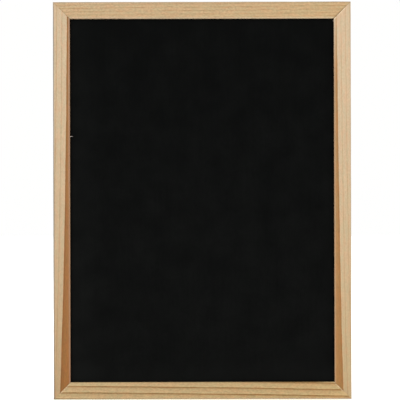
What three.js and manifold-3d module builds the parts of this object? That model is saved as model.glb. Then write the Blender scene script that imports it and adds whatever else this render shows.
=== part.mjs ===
// A magnetic chalkboard in a mitred pine frame, for hanging on a wall upright or on its side.
//
// Millimetres. +Z is up, -Y is the writing side and +Y is the wall side. The origin is the point
// that the wall's nail carries: the top of the middle notch of the upper hanger, in the plane of
// the frame's back. The frame is four lengths of one rebated moulding. The panel lies in the
// rebate, held against the front lip by flat points driven into the rebate's wall.

import * as THREE from "three";
import { mergeVertices } from "three/addons/utils/BufferGeometryUtils.js";
import Module from "manifold-3d";

const wasm = await Module();
wasm.setup();

// Whole board
const BOARD_WIDTH = 300;
const BOARD_HEIGHT = 400;

// Moulding of the frame
const RAIL_WIDTH = 17;
const RAIL_DEPTH = 14;
const LIP_THICKNESS = 4;
const REBATE_WIDTH = 5;
const FACE_ARRIS = 1.0;
const SIGHT_ARRIS = 1.0;
const BACK_ARRIS = 0.6;
const MITRE_GLUE_LINE = 0.1;

// Panel: coated steel bonded to hardboard
const STEEL_THICKNESS = 0.5;
const CORE_THICKNESS = 3;
const BOND_LINE = 0.1;
const PANEL_CORNER = 1.5;
const PANEL_EDGE_GAP = 0.5;
const PANEL_PLAY = 0.1;

// V-nails in the mitres
const V_NAIL_SHEET = 0.5;
const V_NAIL_LEG = 3.6;
const V_NAIL_LIP = 0.8;
const V_NAIL_BEND = 0.5;
const V_NAIL_HEIGHT = 7;
const V_NAIL_SINK = 0.3;
const V_NAIL_MARGIN = 1.6;

// Points that hold the panel in the rebate
const POINT_SHEET = 0.5;
const POINT_WIDTH = 6;
const POINT_BURIED = 6.5;
const POINT_REACH = 9;
const POINT_TIP = 3;
const POINT_TAB_CORNER = 1.5;
const POINTS_PER_RAIL = 2;
const POINTS_PER_STILE = 3;

// Gap all round a piece that is driven into the wood
const DRIVEN_GAP = 0.3;

// Sawtooth hangers
const HANGER_SHEET = 0.7;
const HANGER_HEIGHT = 9.5;
const HANGER_CORNER = 2;
const HANGER_TAB = 8.5;
const HANGER_RAMP = 2.2;
const HANGER_RISE = 1.6;
const HANGER_BEND = 0.9;
const NOTCH_COUNT = 9;
const NOTCH_PITCH = 2.6;
const NOTCH_DEPTH = 1.8;
const TOOTH_FLAT = 0.4;
const NAIL_HOLE_GAP = 0.2;

// Brads through the hangers
const BRAD_SHANK_RADIUS = 0.65;
const BRAD_HEAD_RADIUS = 1.7;
const BRAD_HEAD_HEIGHT = 0.8;
const BRAD_DRIVEN_LENGTH = 9;
const BRAD_POINT = 1.8;

// How finely the round stretches are cut
const ARRIS_STEPS = 4;
const BEND_STEPS = 4;
const ROUND_STEPS = 16;
const DOME_STEPS = 4;

// Sizes that follow from those above
const LAND_WIDTH = RAIL_WIDTH - REBATE_WIDTH;
const LIP_BACK = LIP_THICKNESS - RAIL_DEPTH;
const SHEET_FRONT = LIP_BACK + PANEL_PLAY;
const SHEET_BACK = SHEET_FRONT + STEEL_THICKNESS;
const CORE_FRONT = SHEET_BACK + BOND_LINE;
const CORE_BACK = CORE_FRONT + CORE_THICKNESS;
const POINT_FRONT = CORE_BACK + PANEL_PLAY;
const PANEL_INSET = LAND_WIDTH + PANEL_EDGE_GAP;
const HANGER_RAISED = NOTCH_COUNT * NOTCH_PITCH + TOOTH_FLAT;
const HANGER_LENGTH = HANGER_RAISED + 2 * (HANGER_RAMP + HANGER_TAB);
const BRAD_SPACING = HANGER_LENGTH - HANGER_TAB;
const HANG_HEIGHT = BOARD_HEIGHT / 2 - LAND_WIDTH / 2 - HANGER_HEIGHT / 2 + NOTCH_DEPTH;

// Finishes: colour, roughness and metalness
const PINE = { color: 0xd2b184, roughness: 0.62, metalness: 0 };
const CHALK_BLACK = { color: 0x121312, roughness: 0.9, metalness: 0 };
const HARDBOARD = { color: 0x6b4a2f, roughness: 0.85, metalness: 0 };
const BRIGHT_STEEL = { color: 0xb9bcbd, roughness: 0.35, metalness: 1 };
const DULL_STEEL = { color: 0x8f9293, roughness: 0.5, metalness: 1 };

function namedMesh(name, geometry, finish) {
  const mesh = new THREE.Mesh(geometry, new THREE.MeshStandardMaterial(finish));
  mesh.name = name;
  return mesh;
}

// Solids

function toSolid(geometry) {
  const bare = geometry.clone();
  bare.deleteAttribute("normal");
  bare.deleteAttribute("uv");
  const merged = mergeVertices(bare, 1e-4);
  return new wasm.Manifold(
    new wasm.Mesh({
      numProp: 3,
      vertProperties: new Float32Array(merged.attributes.position.array),
      triVerts: new Uint32Array(merged.index.array),
    }),
  );
}

function toGeometry(solid) {
  const { vertProperties, triVerts } = solid.getMesh();
  const shared = new THREE.BufferGeometry();
  shared.setAttribute("position", new THREE.BufferAttribute(vertProperties, 3));
  shared.setIndex(new THREE.BufferAttribute(triVerts, 1));
  const faceted = shared.toNonIndexed();
  faceted.computeVertexNormals();
  return faceted;
}

function cutAway(geometry, cutters) {
  let solid = toSolid(geometry);
  for (const cutter of cutters) solid = solid.subtract(toSolid(cutter));
  return toGeometry(solid);
}

// Outlines

// Points along a run of corners, with an arc at each corner that has a radius. A closed outline
// joins its last corner to its first, and an open one keeps its two ends as they are.
function filleted(corners, closed, steps) {
  const points = [];
  corners.forEach((corner, index) => {
    const here = new THREE.Vector2(corner.x, corner.y);
    const isEnd = !closed && (index === 0 || index === corners.length - 1);
    if (isEnd || !corner.radius) {
      points.push(here);
      return;
    }
    const before = corners[(index + corners.length - 1) % corners.length];
    const after = corners[(index + 1) % corners.length];
    const toBefore = new THREE.Vector2(before.x, before.y).sub(here).normalize();
    const toAfter = new THREE.Vector2(after.x, after.y).sub(here).normalize();
    const halfAngle = Math.acos(toBefore.dot(toAfter)) / 2;
    const tangent = corner.radius / Math.tan(halfAngle);
    const reach = corner.radius / Math.sin(halfAngle);
    const centre = toBefore.clone().add(toAfter).setLength(reach).add(here);
    const start = toBefore.clone().multiplyScalar(tangent).add(here).sub(centre);
    const end = toAfter.clone().multiplyScalar(tangent).add(here).sub(centre);
    const sweep = Math.atan2(start.cross(end), start.dot(end));
    for (let step = 0; step <= steps; step += 1) {
      const turned = start.clone().rotateAround(new THREE.Vector2(), (sweep * step) / steps);
      points.push(turned.add(centre));
    }
  });
  return points;
}

// The edge view of a bent strip of sheet: a path thickened equally to both sides.
function stripOutline(path, thickness) {
  const along = (from, to) => path[to].clone().sub(path[from]).normalize();
  const left = [];
  const right = [];
  path.forEach((point, index) => {
    const arriving = along(Math.max(index - 1, 0), Math.max(index, 1));
    const leaving = along(Math.min(index, path.length - 2), Math.min(index + 1, path.length - 1));
    const mean = arriving.clone().add(leaving).normalize();
    const offset = thickness / 2 / mean.dot(arriving);
    const side = new THREE.Vector2(-mean.y, mean.x).multiplyScalar(offset);
    left.push(point.clone().add(side));
    right.push(point.clone().sub(side));
  });
  return [...right, ...left.reverse()];
}

function rectangleCorners(width, height, radius) {
  return [
    { x: -width / 2, y: -height / 2, radius },
    { x: width / 2, y: -height / 2, radius },
    { x: width / 2, y: height / 2, radius },
    { x: -width / 2, y: height / 2, radius },
  ];
}

// A plate whose outline is drawn in X and Z, from its front plane back to its back plane.
function plate(outline, front, back, holes = []) {
  const shape = new THREE.Shape(outline);
  shape.holes = holes;
  const geometry = new THREE.ExtrudeGeometry(shape, {
    depth: back - front,
    bevelEnabled: false,
    curveSegments: ROUND_STEPS / 2,
  });
  geometry.rotateX(Math.PI / 2);
  geometry.translate(0, back, 0);
  return geometry;
}

// Moulding and frame
//
// A side of the frame is drawn as the top one is seen: X along it, Z = 0 at its outer edge and
// falling towards the panel, Y = 0 at its back. Its two ends are cut at 45 degrees.

function mouldingSection() {
  return filleted(
    [
      { x: 0, y: 0, radius: BACK_ARRIS },
      { x: 0, y: -RAIL_DEPTH, radius: FACE_ARRIS },
      { x: RAIL_WIDTH, y: -RAIL_DEPTH, radius: SIGHT_ARRIS },
      { x: RAIL_WIDTH, y: LIP_BACK, radius: 0 },
      { x: LAND_WIDTH, y: LIP_BACK, radius: 0 },
      { x: LAND_WIDTH, y: 0, radius: BACK_ARRIS },
    ],
    true,
    ARRIS_STEPS,
  );
}

function mitredMoulding(length) {
  const geometry = new THREE.ExtrudeGeometry(new THREE.Shape(mouldingSection()), {
    depth: length,
    bevelEnabled: false,
  });
  const position = geometry.attributes.position;
  const setback = MITRE_GLUE_LINE / Math.SQRT2;
  for (let index = 0; index < position.count; index += 1) {
    const inward = position.getX(index) + setback;
    const atFarEnd = position.getZ(index) > length / 2;
    position.setZ(index, atFarEnd ? length - inward : inward);
  }
  geometry.translate(0, 0, -length / 2);
  geometry.rotateY(Math.PI / 2);
  return geometry;
}

// A V-nail seen from the back, its bend at the origin on the mitre and its two legs reaching out
// across the grain of the two rails, each with a lip that is turned outwards.
function vNailPath(extra) {
  const leg = V_NAIL_LEG + extra;
  const lip = V_NAIL_LIP / Math.SQRT2;
  return filleted(
    [
      { x: lip, y: leg + lip },
      { x: 0, y: leg, radius: V_NAIL_BEND },
      { x: 0, y: 0, radius: V_NAIL_BEND },
      { x: -leg, y: 0, radius: V_NAIL_BEND },
      { x: -leg - lip, y: -lip },
    ],
    false,
    BEND_STEPS,
  );
}

function vNail(gap) {
  const outline = stripOutline(vNailPath(gap), V_NAIL_SHEET + 2 * gap);
  const bottom = -V_NAIL_SINK - V_NAIL_HEIGHT - gap;
  const top = gap > 0 ? RAIL_DEPTH : -V_NAIL_SINK;
  return plate(outline, bottom, top);
}

// How far in from the frame's two outer edges the bends of the V-nails lie.
function vNailInsets() {
  const reach = V_NAIL_LEG + V_NAIL_LIP / Math.SQRT2;
  return [V_NAIL_MARGIN + reach, LAND_WIDTH - V_NAIL_MARGIN];
}

// A flat point: its sharp end goes into the rebate's wall and its tab lies over the panel. Z = 0
// is the face of that wall.
function retainingPoint(gap) {
  const half = POINT_WIDTH / 2 + gap;
  const tip = POINT_BURIED + gap;
  const shoulder = tip - POINT_TIP;
  const outline = filleted(
    [
      { x: -half, y: -POINT_REACH, radius: POINT_TAB_CORNER },
      { x: half, y: -POINT_REACH, radius: POINT_TAB_CORNER },
      { x: half, y: shoulder },
      { x: 0, y: tip },
      { x: -half, y: shoulder },
    ],
    true,
    ARRIS_STEPS,
  );
  return plate(outline, POINT_FRONT - gap, POINT_FRONT + POINT_SHEET + gap);
}

// Positions of a number of points, spread evenly along a side.
function spread(count, length) {
  return Array.from({ length: count }, (unused, index) => ((index + 0.5) / count - 0.5) * length);
}

// Hangers

function hangerFace() {
  const half = HANGER_LENGTH / 2;
  const top = HANGER_HEIGHT / 2;
  const mouth = (NOTCH_PITCH - TOOTH_FLAT) / 2;
  const corners = [
    { x: half, y: top, radius: HANGER_CORNER },
    { x: -half, y: top, radius: HANGER_CORNER },
    { x: -half, y: -top, radius: HANGER_CORNER },
  ];
  for (let notch = 0; notch < NOTCH_COUNT; notch += 1) {
    const middle = (notch - (NOTCH_COUNT - 1) / 2) * NOTCH_PITCH;
    corners.push({ x: middle - mouth, y: -top });
    corners.push({ x: middle, y: -top + NOTCH_DEPTH });
    corners.push({ x: middle + mouth, y: -top });
  }
  corners.push({ x: half, y: -top, radius: HANGER_CORNER });
  return filleted(corners, true, ARRIS_STEPS);
}

// The hanger's edge view in X and Y: tabs flat on the wood and a raised middle.
function hangerStrip() {
  const tabEnd = HANGER_LENGTH / 2;
  const rampFoot = HANGER_RAISED / 2 + HANGER_RAMP;
  const rampHead = HANGER_RAISED / 2;
  const low = HANGER_SHEET / 2;
  const high = low + HANGER_RISE;
  const path = filleted(
    [
      { x: -tabEnd, y: low },
      { x: -rampFoot, y: low, radius: HANGER_BEND },
      { x: -rampHead, y: high, radius: HANGER_BEND },
      { x: rampHead, y: high, radius: HANGER_BEND },
      { x: rampFoot, y: low, radius: HANGER_BEND },
      { x: tabEnd, y: low },
    ],
    false,
    BEND_STEPS,
  );
  const geometry = new THREE.ExtrudeGeometry(
    new THREE.Shape(stripOutline(path, HANGER_SHEET)),
    { depth: 2 * HANGER_HEIGHT, bevelEnabled: false },
  );
  geometry.translate(0, 0, -HANGER_HEIGHT);
  return geometry;
}

// The bent strip, trimmed by the toothed outline.
function sawtoothHanger() {
  const holes = [-1, 1].map((side) => {
    const radius = BRAD_SHANK_RADIUS + NAIL_HOLE_GAP;
    return new THREE.Path().absarc((side * BRAD_SPACING) / 2, 0, radius, 0, 2 * Math.PI, true);
  });
  const blank = plate(hangerFace(), -HANGER_SHEET, 2 * HANGER_RISE + HANGER_SHEET, holes);
  return toGeometry(toSolid(hangerStrip()).intersect(toSolid(blank)));
}

// A brad along Y with its head on the hanger's tab.
function brad() {
  const profile = [new THREE.Vector2(0, -BRAD_DRIVEN_LENGTH)];
  profile.push(new THREE.Vector2(BRAD_SHANK_RADIUS, BRAD_POINT - BRAD_DRIVEN_LENGTH));
  profile.push(new THREE.Vector2(BRAD_SHANK_RADIUS, HANGER_SHEET));
  for (let step = 0; step <= DOME_STEPS; step += 1) {
    const angle = ((Math.PI / 2) * step) / DOME_STEPS;
    const radius = step === DOME_STEPS ? 0 : BRAD_HEAD_RADIUS * Math.cos(angle);
    profile.push(new THREE.Vector2(radius, HANGER_SHEET + BRAD_HEAD_HEIGHT * Math.sin(angle)));
  }
  return new THREE.LatheGeometry(profile, ROUND_STEPS);
}

function bradHole() {
  const deep = BRAD_DRIVEN_LENGTH + DRIVEN_GAP;
  const hole = new THREE.CylinderGeometry(
    BRAD_SHANK_RADIUS + DRIVEN_GAP,
    BRAD_SHANK_RADIUS + DRIVEN_GAP,
    2 * deep,
    ROUND_STEPS,
  );
  return hole;
}

// Assembly

function frameSide({ rail, side, length, points, hanger }) {
  const group = new THREE.Group();
  const cutters = [];

  for (const end of [-1, 1]) {
    for (const inset of vNailInsets()) {
      const slot = vNail(DRIVEN_GAP);
      slot.rotateY(end > 0 ? Math.PI / 2 : 0);
      slot.translate(end * (length / 2 - inset), 0, -inset);
      cutters.push(slot);
    }
  }

  spread(points, length - 2 * LAND_WIDTH).forEach((x, index) => {
    const slot = retainingPoint(DRIVEN_GAP);
    slot.translate(x, 0, -LAND_WIDTH);
    cutters.push(slot);
    const point = namedMesh(`retaining_point_${side}_${index + 1}`, retainingPoint(0), DULL_STEEL);
    point.position.set(x, 0, -LAND_WIDTH);
    group.add(point);
  });

  if (hanger) {
    const plateMesh = namedMesh(`hanger_${side}`, sawtoothHanger(), BRIGHT_STEEL);
    plateMesh.position.z = -LAND_WIDTH / 2;
    group.add(plateMesh);
    [-1, 1].forEach((end, index) => {
      const x = (end * BRAD_SPACING) / 2;
      const hole = bradHole();
      hole.translate(x, 0, -LAND_WIDTH / 2);
      cutters.push(hole);
      const nail = namedMesh(`hanger_nail_${side}_${index + 1}`, brad(), BRIGHT_STEEL);
      nail.position.set(x, 0, -LAND_WIDTH / 2);
      group.add(nail);
    });
  }

  group.add(namedMesh(rail, cutAway(mitredMoulding(length), cutters), PINE));
  return group;
}

function frame() {
  const group = new THREE.Group();
  const quarter = Math.PI / 2;
  const sides = [
    { rail: "frame_top_rail", side: "top", turn: 0, hanger: true },
    { rail: "frame_left_stile", side: "left", turn: -quarter, hanger: true },
    { rail: "frame_bottom_rail", side: "bottom", turn: 2 * quarter, hanger: false },
    { rail: "frame_right_stile", side: "right", turn: quarter, hanger: false },
  ];
  for (const { rail, side, turn, hanger } of sides) {
    const upright = side === "left" || side === "right";
    const length = upright ? BOARD_HEIGHT : BOARD_WIDTH;
    const across = upright ? BOARD_WIDTH : BOARD_HEIGHT;
    const points = upright ? POINTS_PER_STILE : POINTS_PER_RAIL;
    const made = frameSide({ rail, side, length, points, hanger });
    made.rotation.y = turn;
    made.position.set((across / 2) * Math.sin(turn), 0, (across / 2) * Math.cos(turn));
    group.add(made);
  }
  return group;
}

function mitreNails() {
  const group = new THREE.Group();
  const corners = [
    { corner: "top_left", right: -1, up: 1, turn: 0 },
    { corner: "top_right", right: 1, up: 1, turn: Math.PI / 2 },
    { corner: "bottom_right", right: 1, up: -1, turn: Math.PI },
    { corner: "bottom_left", right: -1, up: -1, turn: -Math.PI / 2 },
  ];
  for (const { corner, right, up, turn } of corners) {
    ["outer", "inner"].forEach((place, index) => {
      const inset = vNailInsets()[index];
      const nail = namedMesh(`v_nail_${corner}_${place}`, vNail(0), DULL_STEEL);
      nail.rotation.y = turn;
      nail.position.set(right * (BOARD_WIDTH / 2 - inset), 0, up * (BOARD_HEIGHT / 2 - inset));
      group.add(nail);
    });
  }
  return group;
}

function panel() {
  const group = new THREE.Group();
  const corners = rectangleCorners(
    BOARD_WIDTH - 2 * PANEL_INSET,
    BOARD_HEIGHT - 2 * PANEL_INSET,
    PANEL_CORNER,
  );
  const outline = filleted(corners, true, ARRIS_STEPS);
  group.add(namedMesh("writing_sheet", plate(outline, SHEET_FRONT, SHEET_BACK), CHALK_BLACK));
  group.add(namedMesh("core_board", plate(outline, CORE_FRONT, CORE_BACK), HARDBOARD));
  return group;
}

const board = new THREE.Group();
board.add(frame());
board.add(mitreNails());
board.add(panel());
board.position.z = -HANG_HEIGHT;

const chalkboard = new THREE.Group();
chalkboard.add(board);

export default chalkboard;
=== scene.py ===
"""The looks of a magnetic chalkboard: a matt black steel sheet in a mitred frame of bare pine.

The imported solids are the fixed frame. +Z is up, -Y is the writing side and +Y is the wall side.
Sizes are in metres, and patterns on the surfaces are worked out in millimetres.
"""

import logging
import math
from abc import ABC, abstractmethod
from collections.abc import Iterator
from contextlib import contextmanager
from dataclasses import dataclass, field
from enum import Enum
from typing import ClassVar, Union

import bmesh
import bpy
from mathutils import Matrix, Vector


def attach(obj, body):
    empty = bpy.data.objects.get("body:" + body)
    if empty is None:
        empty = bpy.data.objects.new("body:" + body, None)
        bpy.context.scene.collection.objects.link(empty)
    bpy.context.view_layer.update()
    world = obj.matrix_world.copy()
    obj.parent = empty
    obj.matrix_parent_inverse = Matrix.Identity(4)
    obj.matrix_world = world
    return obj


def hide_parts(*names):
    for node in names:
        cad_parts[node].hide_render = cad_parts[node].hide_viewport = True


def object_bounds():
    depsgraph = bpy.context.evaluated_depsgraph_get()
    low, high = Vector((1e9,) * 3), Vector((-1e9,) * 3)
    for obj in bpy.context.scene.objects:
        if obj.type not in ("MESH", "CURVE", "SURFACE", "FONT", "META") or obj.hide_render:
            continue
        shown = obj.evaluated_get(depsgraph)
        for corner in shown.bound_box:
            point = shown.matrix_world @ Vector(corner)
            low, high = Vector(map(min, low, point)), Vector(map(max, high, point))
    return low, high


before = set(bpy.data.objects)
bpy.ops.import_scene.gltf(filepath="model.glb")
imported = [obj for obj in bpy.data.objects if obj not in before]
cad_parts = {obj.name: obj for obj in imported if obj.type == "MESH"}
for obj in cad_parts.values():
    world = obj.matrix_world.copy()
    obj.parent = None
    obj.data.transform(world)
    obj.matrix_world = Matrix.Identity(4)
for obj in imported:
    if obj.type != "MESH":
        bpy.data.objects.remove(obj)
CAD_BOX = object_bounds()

LOG = logging.getLogger("chalkboard")
MM = 0.001
DOUBLES = 1e-6
ARRIS = "arris"
Rgb = tuple[float, float, float]
Xyz = tuple[float, float, float]
Band = tuple[float, float]
Term = Union["Wire", float]


def linear(red: float, green: float, blue: float) -> Rgb:
    """Turns a colour as the eye reads it, 0 to 255, into the linear colour that light works with.

    Args:
        red: red share, 0 to 255.
        green: green share, 0 to 255.
        blue: blue share, 0 to 255.

    Returns:
        The three linear shares, 0 to 1.
    """

    def share(level: float) -> float:
        """One of the three."""
        level /= 255
        return level / 12.92 if level <= 0.04045 else ((level + 0.055) / 1.055) ** 2.4

    return share(red), share(green), share(blue)


# Node trees


@dataclass(frozen=True)
class Pattern:
    """A noise or a scatter: the size of its lumps along each axis, in millimetres, which part of it
    is used, and a noise's number of finer layers and how strong they are."""

    size: Xyz
    seed: float = 0.0
    detail: float = 2.0
    roughness: float = 0.5


@dataclass(frozen=True)
class Wire:
    """What flows out of one node socket. Python's operators on it add Math nodes."""

    pen: "NodePen"
    socket: bpy.types.NodeSocket

    def __add__(self, other: Term) -> "Wire":
        """Sum."""
        return self.pen.math("ADD", self, other)

    def __radd__(self, other: Term) -> "Wire":
        """Sum, with the wire second."""
        return self.pen.math("ADD", other, self)

    def __sub__(self, other: Term) -> "Wire":
        """Difference."""
        return self.pen.math("SUBTRACT", self, other)

    def __rsub__(self, other: Term) -> "Wire":
        """Difference, with the wire second."""
        return self.pen.math("SUBTRACT", other, self)

    def __mul__(self, other: Term) -> "Wire":
        """Product."""
        return self.pen.math("MULTIPLY", self, other)

    def __rmul__(self, other: Term) -> "Wire":
        """Product, with the wire second."""
        return self.pen.math("MULTIPLY", other, self)

    def __truediv__(self, other: Term) -> "Wire":
        """Quotient."""
        return self.pen.math("DIVIDE", self, other)

    def __rtruediv__(self, other: Term) -> "Wire":
        """Quotient, with the wire second."""
        return self.pen.math("DIVIDE", other, self)

    def __pow__(self, other: Term) -> "Wire":
        """Power."""
        return self.pen.math("POWER", self, other)

    def __abs__(self) -> "Wire":
        """Size without sign."""
        return self.pen.math("ABSOLUTE", self)

    def least(self, other: Term) -> "Wire":
        """The smaller of the two."""
        return self.pen.math("MINIMUM", self, other)

    def most(self, other: Term) -> "Wire":
        """The larger of the two."""
        return self.pen.math("MAXIMUM", self, other)

    def ease(self, low: float, high: float) -> "Wire":
        """A smooth rise from 0 at low to 1 at high, or a fall where high is below low.

        Args:
            low: where it starts.
            high: where it is full.

        Returns:
            A number from 0 to 1.
        """
        made = self.pen.node(
            "ShaderNodeMapRange",
            {"interpolation_type": "SMOOTHSTEP", "clamp": True},
            {"Value": self, "From Min": low, "From Max": high},
        )
        return self.pen.wire(made, "Result")


class NodePen:
    """Adds nodes to one tree and joins them up."""

    def __init__(self, tree: bpy.types.NodeTree) -> None:
        """Takes the tree to work on."""
        self.tree = tree

    def node(
        self,
        kind: str,
        settings: dict[str, object] | None = None,
        sockets: dict[str, object] | None = None,
    ) -> bpy.types.Node:
        """Adds one node.

        Args:
            kind: the node's type.
            settings: the node's own properties, which are set first.
            sockets: a value or a Wire for each input, by the socket's identifier or name, or a
                list of Wires for an input that takes several.

        Returns:
            The new node.
        """
        made = self.tree.nodes.new(kind)
        for name, value in (settings or {}).items():
            setattr(made, name, value)
        for name, value in (sockets or {}).items():
            for part in value if isinstance(value, list) else [value]:
                self._fill(self._find(made.inputs, name), part)
        return made

    def wire(self, node: bpy.types.Node, name: str) -> Wire:
        """The output of a node, by its identifier or name."""
        return Wire(self, self._find(node.outputs, name))

    def math(self, operation: str, *values: Term) -> Wire:
        """A Math node.

        Args:
            operation: what it does with its values.
            values: one to three numbers or wires.

        Returns:
            The result.
        """
        names = ("Value", "Value_001", "Value_002")
        made = self.node("ShaderNodeMath", {"operation": operation}, dict(zip(names, values)))
        return self.wire(made, "Value")

    def vector_math(self, operation: str, first: object, second: object = None) -> Wire:
        """A Vector Math node on vectors or colours.

        Args:
            operation: what it does.
            first: the first vector.
            second: the second vector, or the number that SCALE takes.

        Returns:
            The resulting vector.
        """
        sockets = {"Vector": first}
        if second is not None:
            sockets["Scale" if operation == "SCALE" else "Vector_001"] = second
        made = self.node("ShaderNodeVectorMath", {"operation": operation}, sockets)
        return self.wire(made, "Vector")

    def split(self, vector: Wire) -> tuple[Wire, Wire, Wire]:
        """The three numbers of a vector."""
        made = self.node("ShaderNodeSeparateXYZ", sockets={"Vector": vector})
        return self.wire(made, "X"), self.wire(made, "Y"), self.wire(made, "Z")

    def join(self, x: Term, y: Term, z: Term) -> Wire:
        """A vector from three numbers."""
        made = self.node("ShaderNodeCombineXYZ", sockets={"X": x, "Y": y, "Z": z})
        return self.wire(made, "Vector")

    def mix(self, first: object, second: object, share: Term, blend: str = "MIX") -> Wire:
        """Mixes two colours.

        Args:
            first: the colour at share 0.
            second: the colour at share 1.
            share: how much of the second.
            blend: how they are mixed.

        Returns:
            The mixed colour.
        """
        made = self.node(
            "ShaderNodeMix",
            {"data_type": "RGBA", "blend_type": blend, "clamp_factor": True},
            {"Factor_Float": share, "A_Color": first, "B_Color": second},
        )
        return self.wire(made, "Result_Color")

    def noise(self, place: Wire, pattern: Pattern, seed: float = 0.0) -> Wire:
        """Cloudy noise about 0.5, seldom below 0.25 or above 0.75.

        Args:
            place: where on the surface, in millimetres.
            pattern: which noise.
            seed: moves it to another part of the noise.

        Returns:
            The noise.
        """
        sockets = {
            "Vector": self._moved(place, pattern, seed, (7.31, 3.17, 5.71)),
            "Scale": 1.0,
            "Detail": pattern.detail,
            "Roughness": pattern.roughness,
        }
        how = {"noise_dimensions": "3D", "normalize": True}
        return self.wire(self.node("ShaderNodeTexNoise", how, sockets), "Fac")

    def cells(self, place: Wire, pattern: Pattern, seed: float = 0.0) -> Wire:
        """The distance to the nearest of a scatter of points, in cells.

        Args:
            place: where on the surface, in millimetres.
            pattern: which scatter.
            seed: moves it.

        Returns:
            The distance, 0 at a point.
        """
        sockets = {"Vector": self._moved(place, pattern, seed, (4.13, 6.37, 2.29)), "Scale": 1.0}
        how = {"voronoi_dimensions": "3D", "feature": "F1"}
        return self.wire(self.node("ShaderNodeTexVoronoi", how, sockets), "Distance")

    def _moved(self, place: Wire, pattern: Pattern, seed: float, stride: Xyz) -> Wire:
        """Brings a place to the scale of a pattern, in its own part of it.

        Args:
            place: where on the surface, in millimetres.
            pattern: the pattern.
            seed: moves it further.
            stride: how far apart its parts lie.

        Returns:
            The place in the pattern.
        """
        shrunk = self.vector_math("MULTIPLY", place, tuple(1 / length for length in pattern.size))
        seed += pattern.seed
        return self.vector_math("ADD", shrunk, tuple(seed * step for step in stride))

    def bump(self, height: Wire) -> Wire:
        """The surface normal for a relief whose height is in millimetres."""
        made = self.node("ShaderNodeBump", sockets={"Distance": MM, "Height": height})
        return self.wire(made, "Normal")

    @staticmethod
    def _find(sockets: object, name: str) -> bpy.types.NodeSocket:
        """Looks a socket up.

        Args:
            sockets: the node's inputs or outputs.
            name: the socket's identifier or name.

        Returns:
            The socket with this identifier, or else the first one in use with this name.
        """
        for socket in sockets:
            if socket.identifier == name:
                return socket
        return next(socket for socket in sockets if socket.name == name and socket.enabled)

    def _fill(self, socket: bpy.types.NodeSocket, value: object) -> None:
        """Links a wire to an input, or sets the input's own value.

        Args:
            socket: the input.
            value: a wire, a number, a vector or a colour.
        """
        if isinstance(value, Wire):
            self.tree.links.new(value.socket, socket)
        elif socket.type == "RGBA":
            socket.default_value = (*value[:3], 1.0)
        else:
            socket.default_value = value


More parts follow.
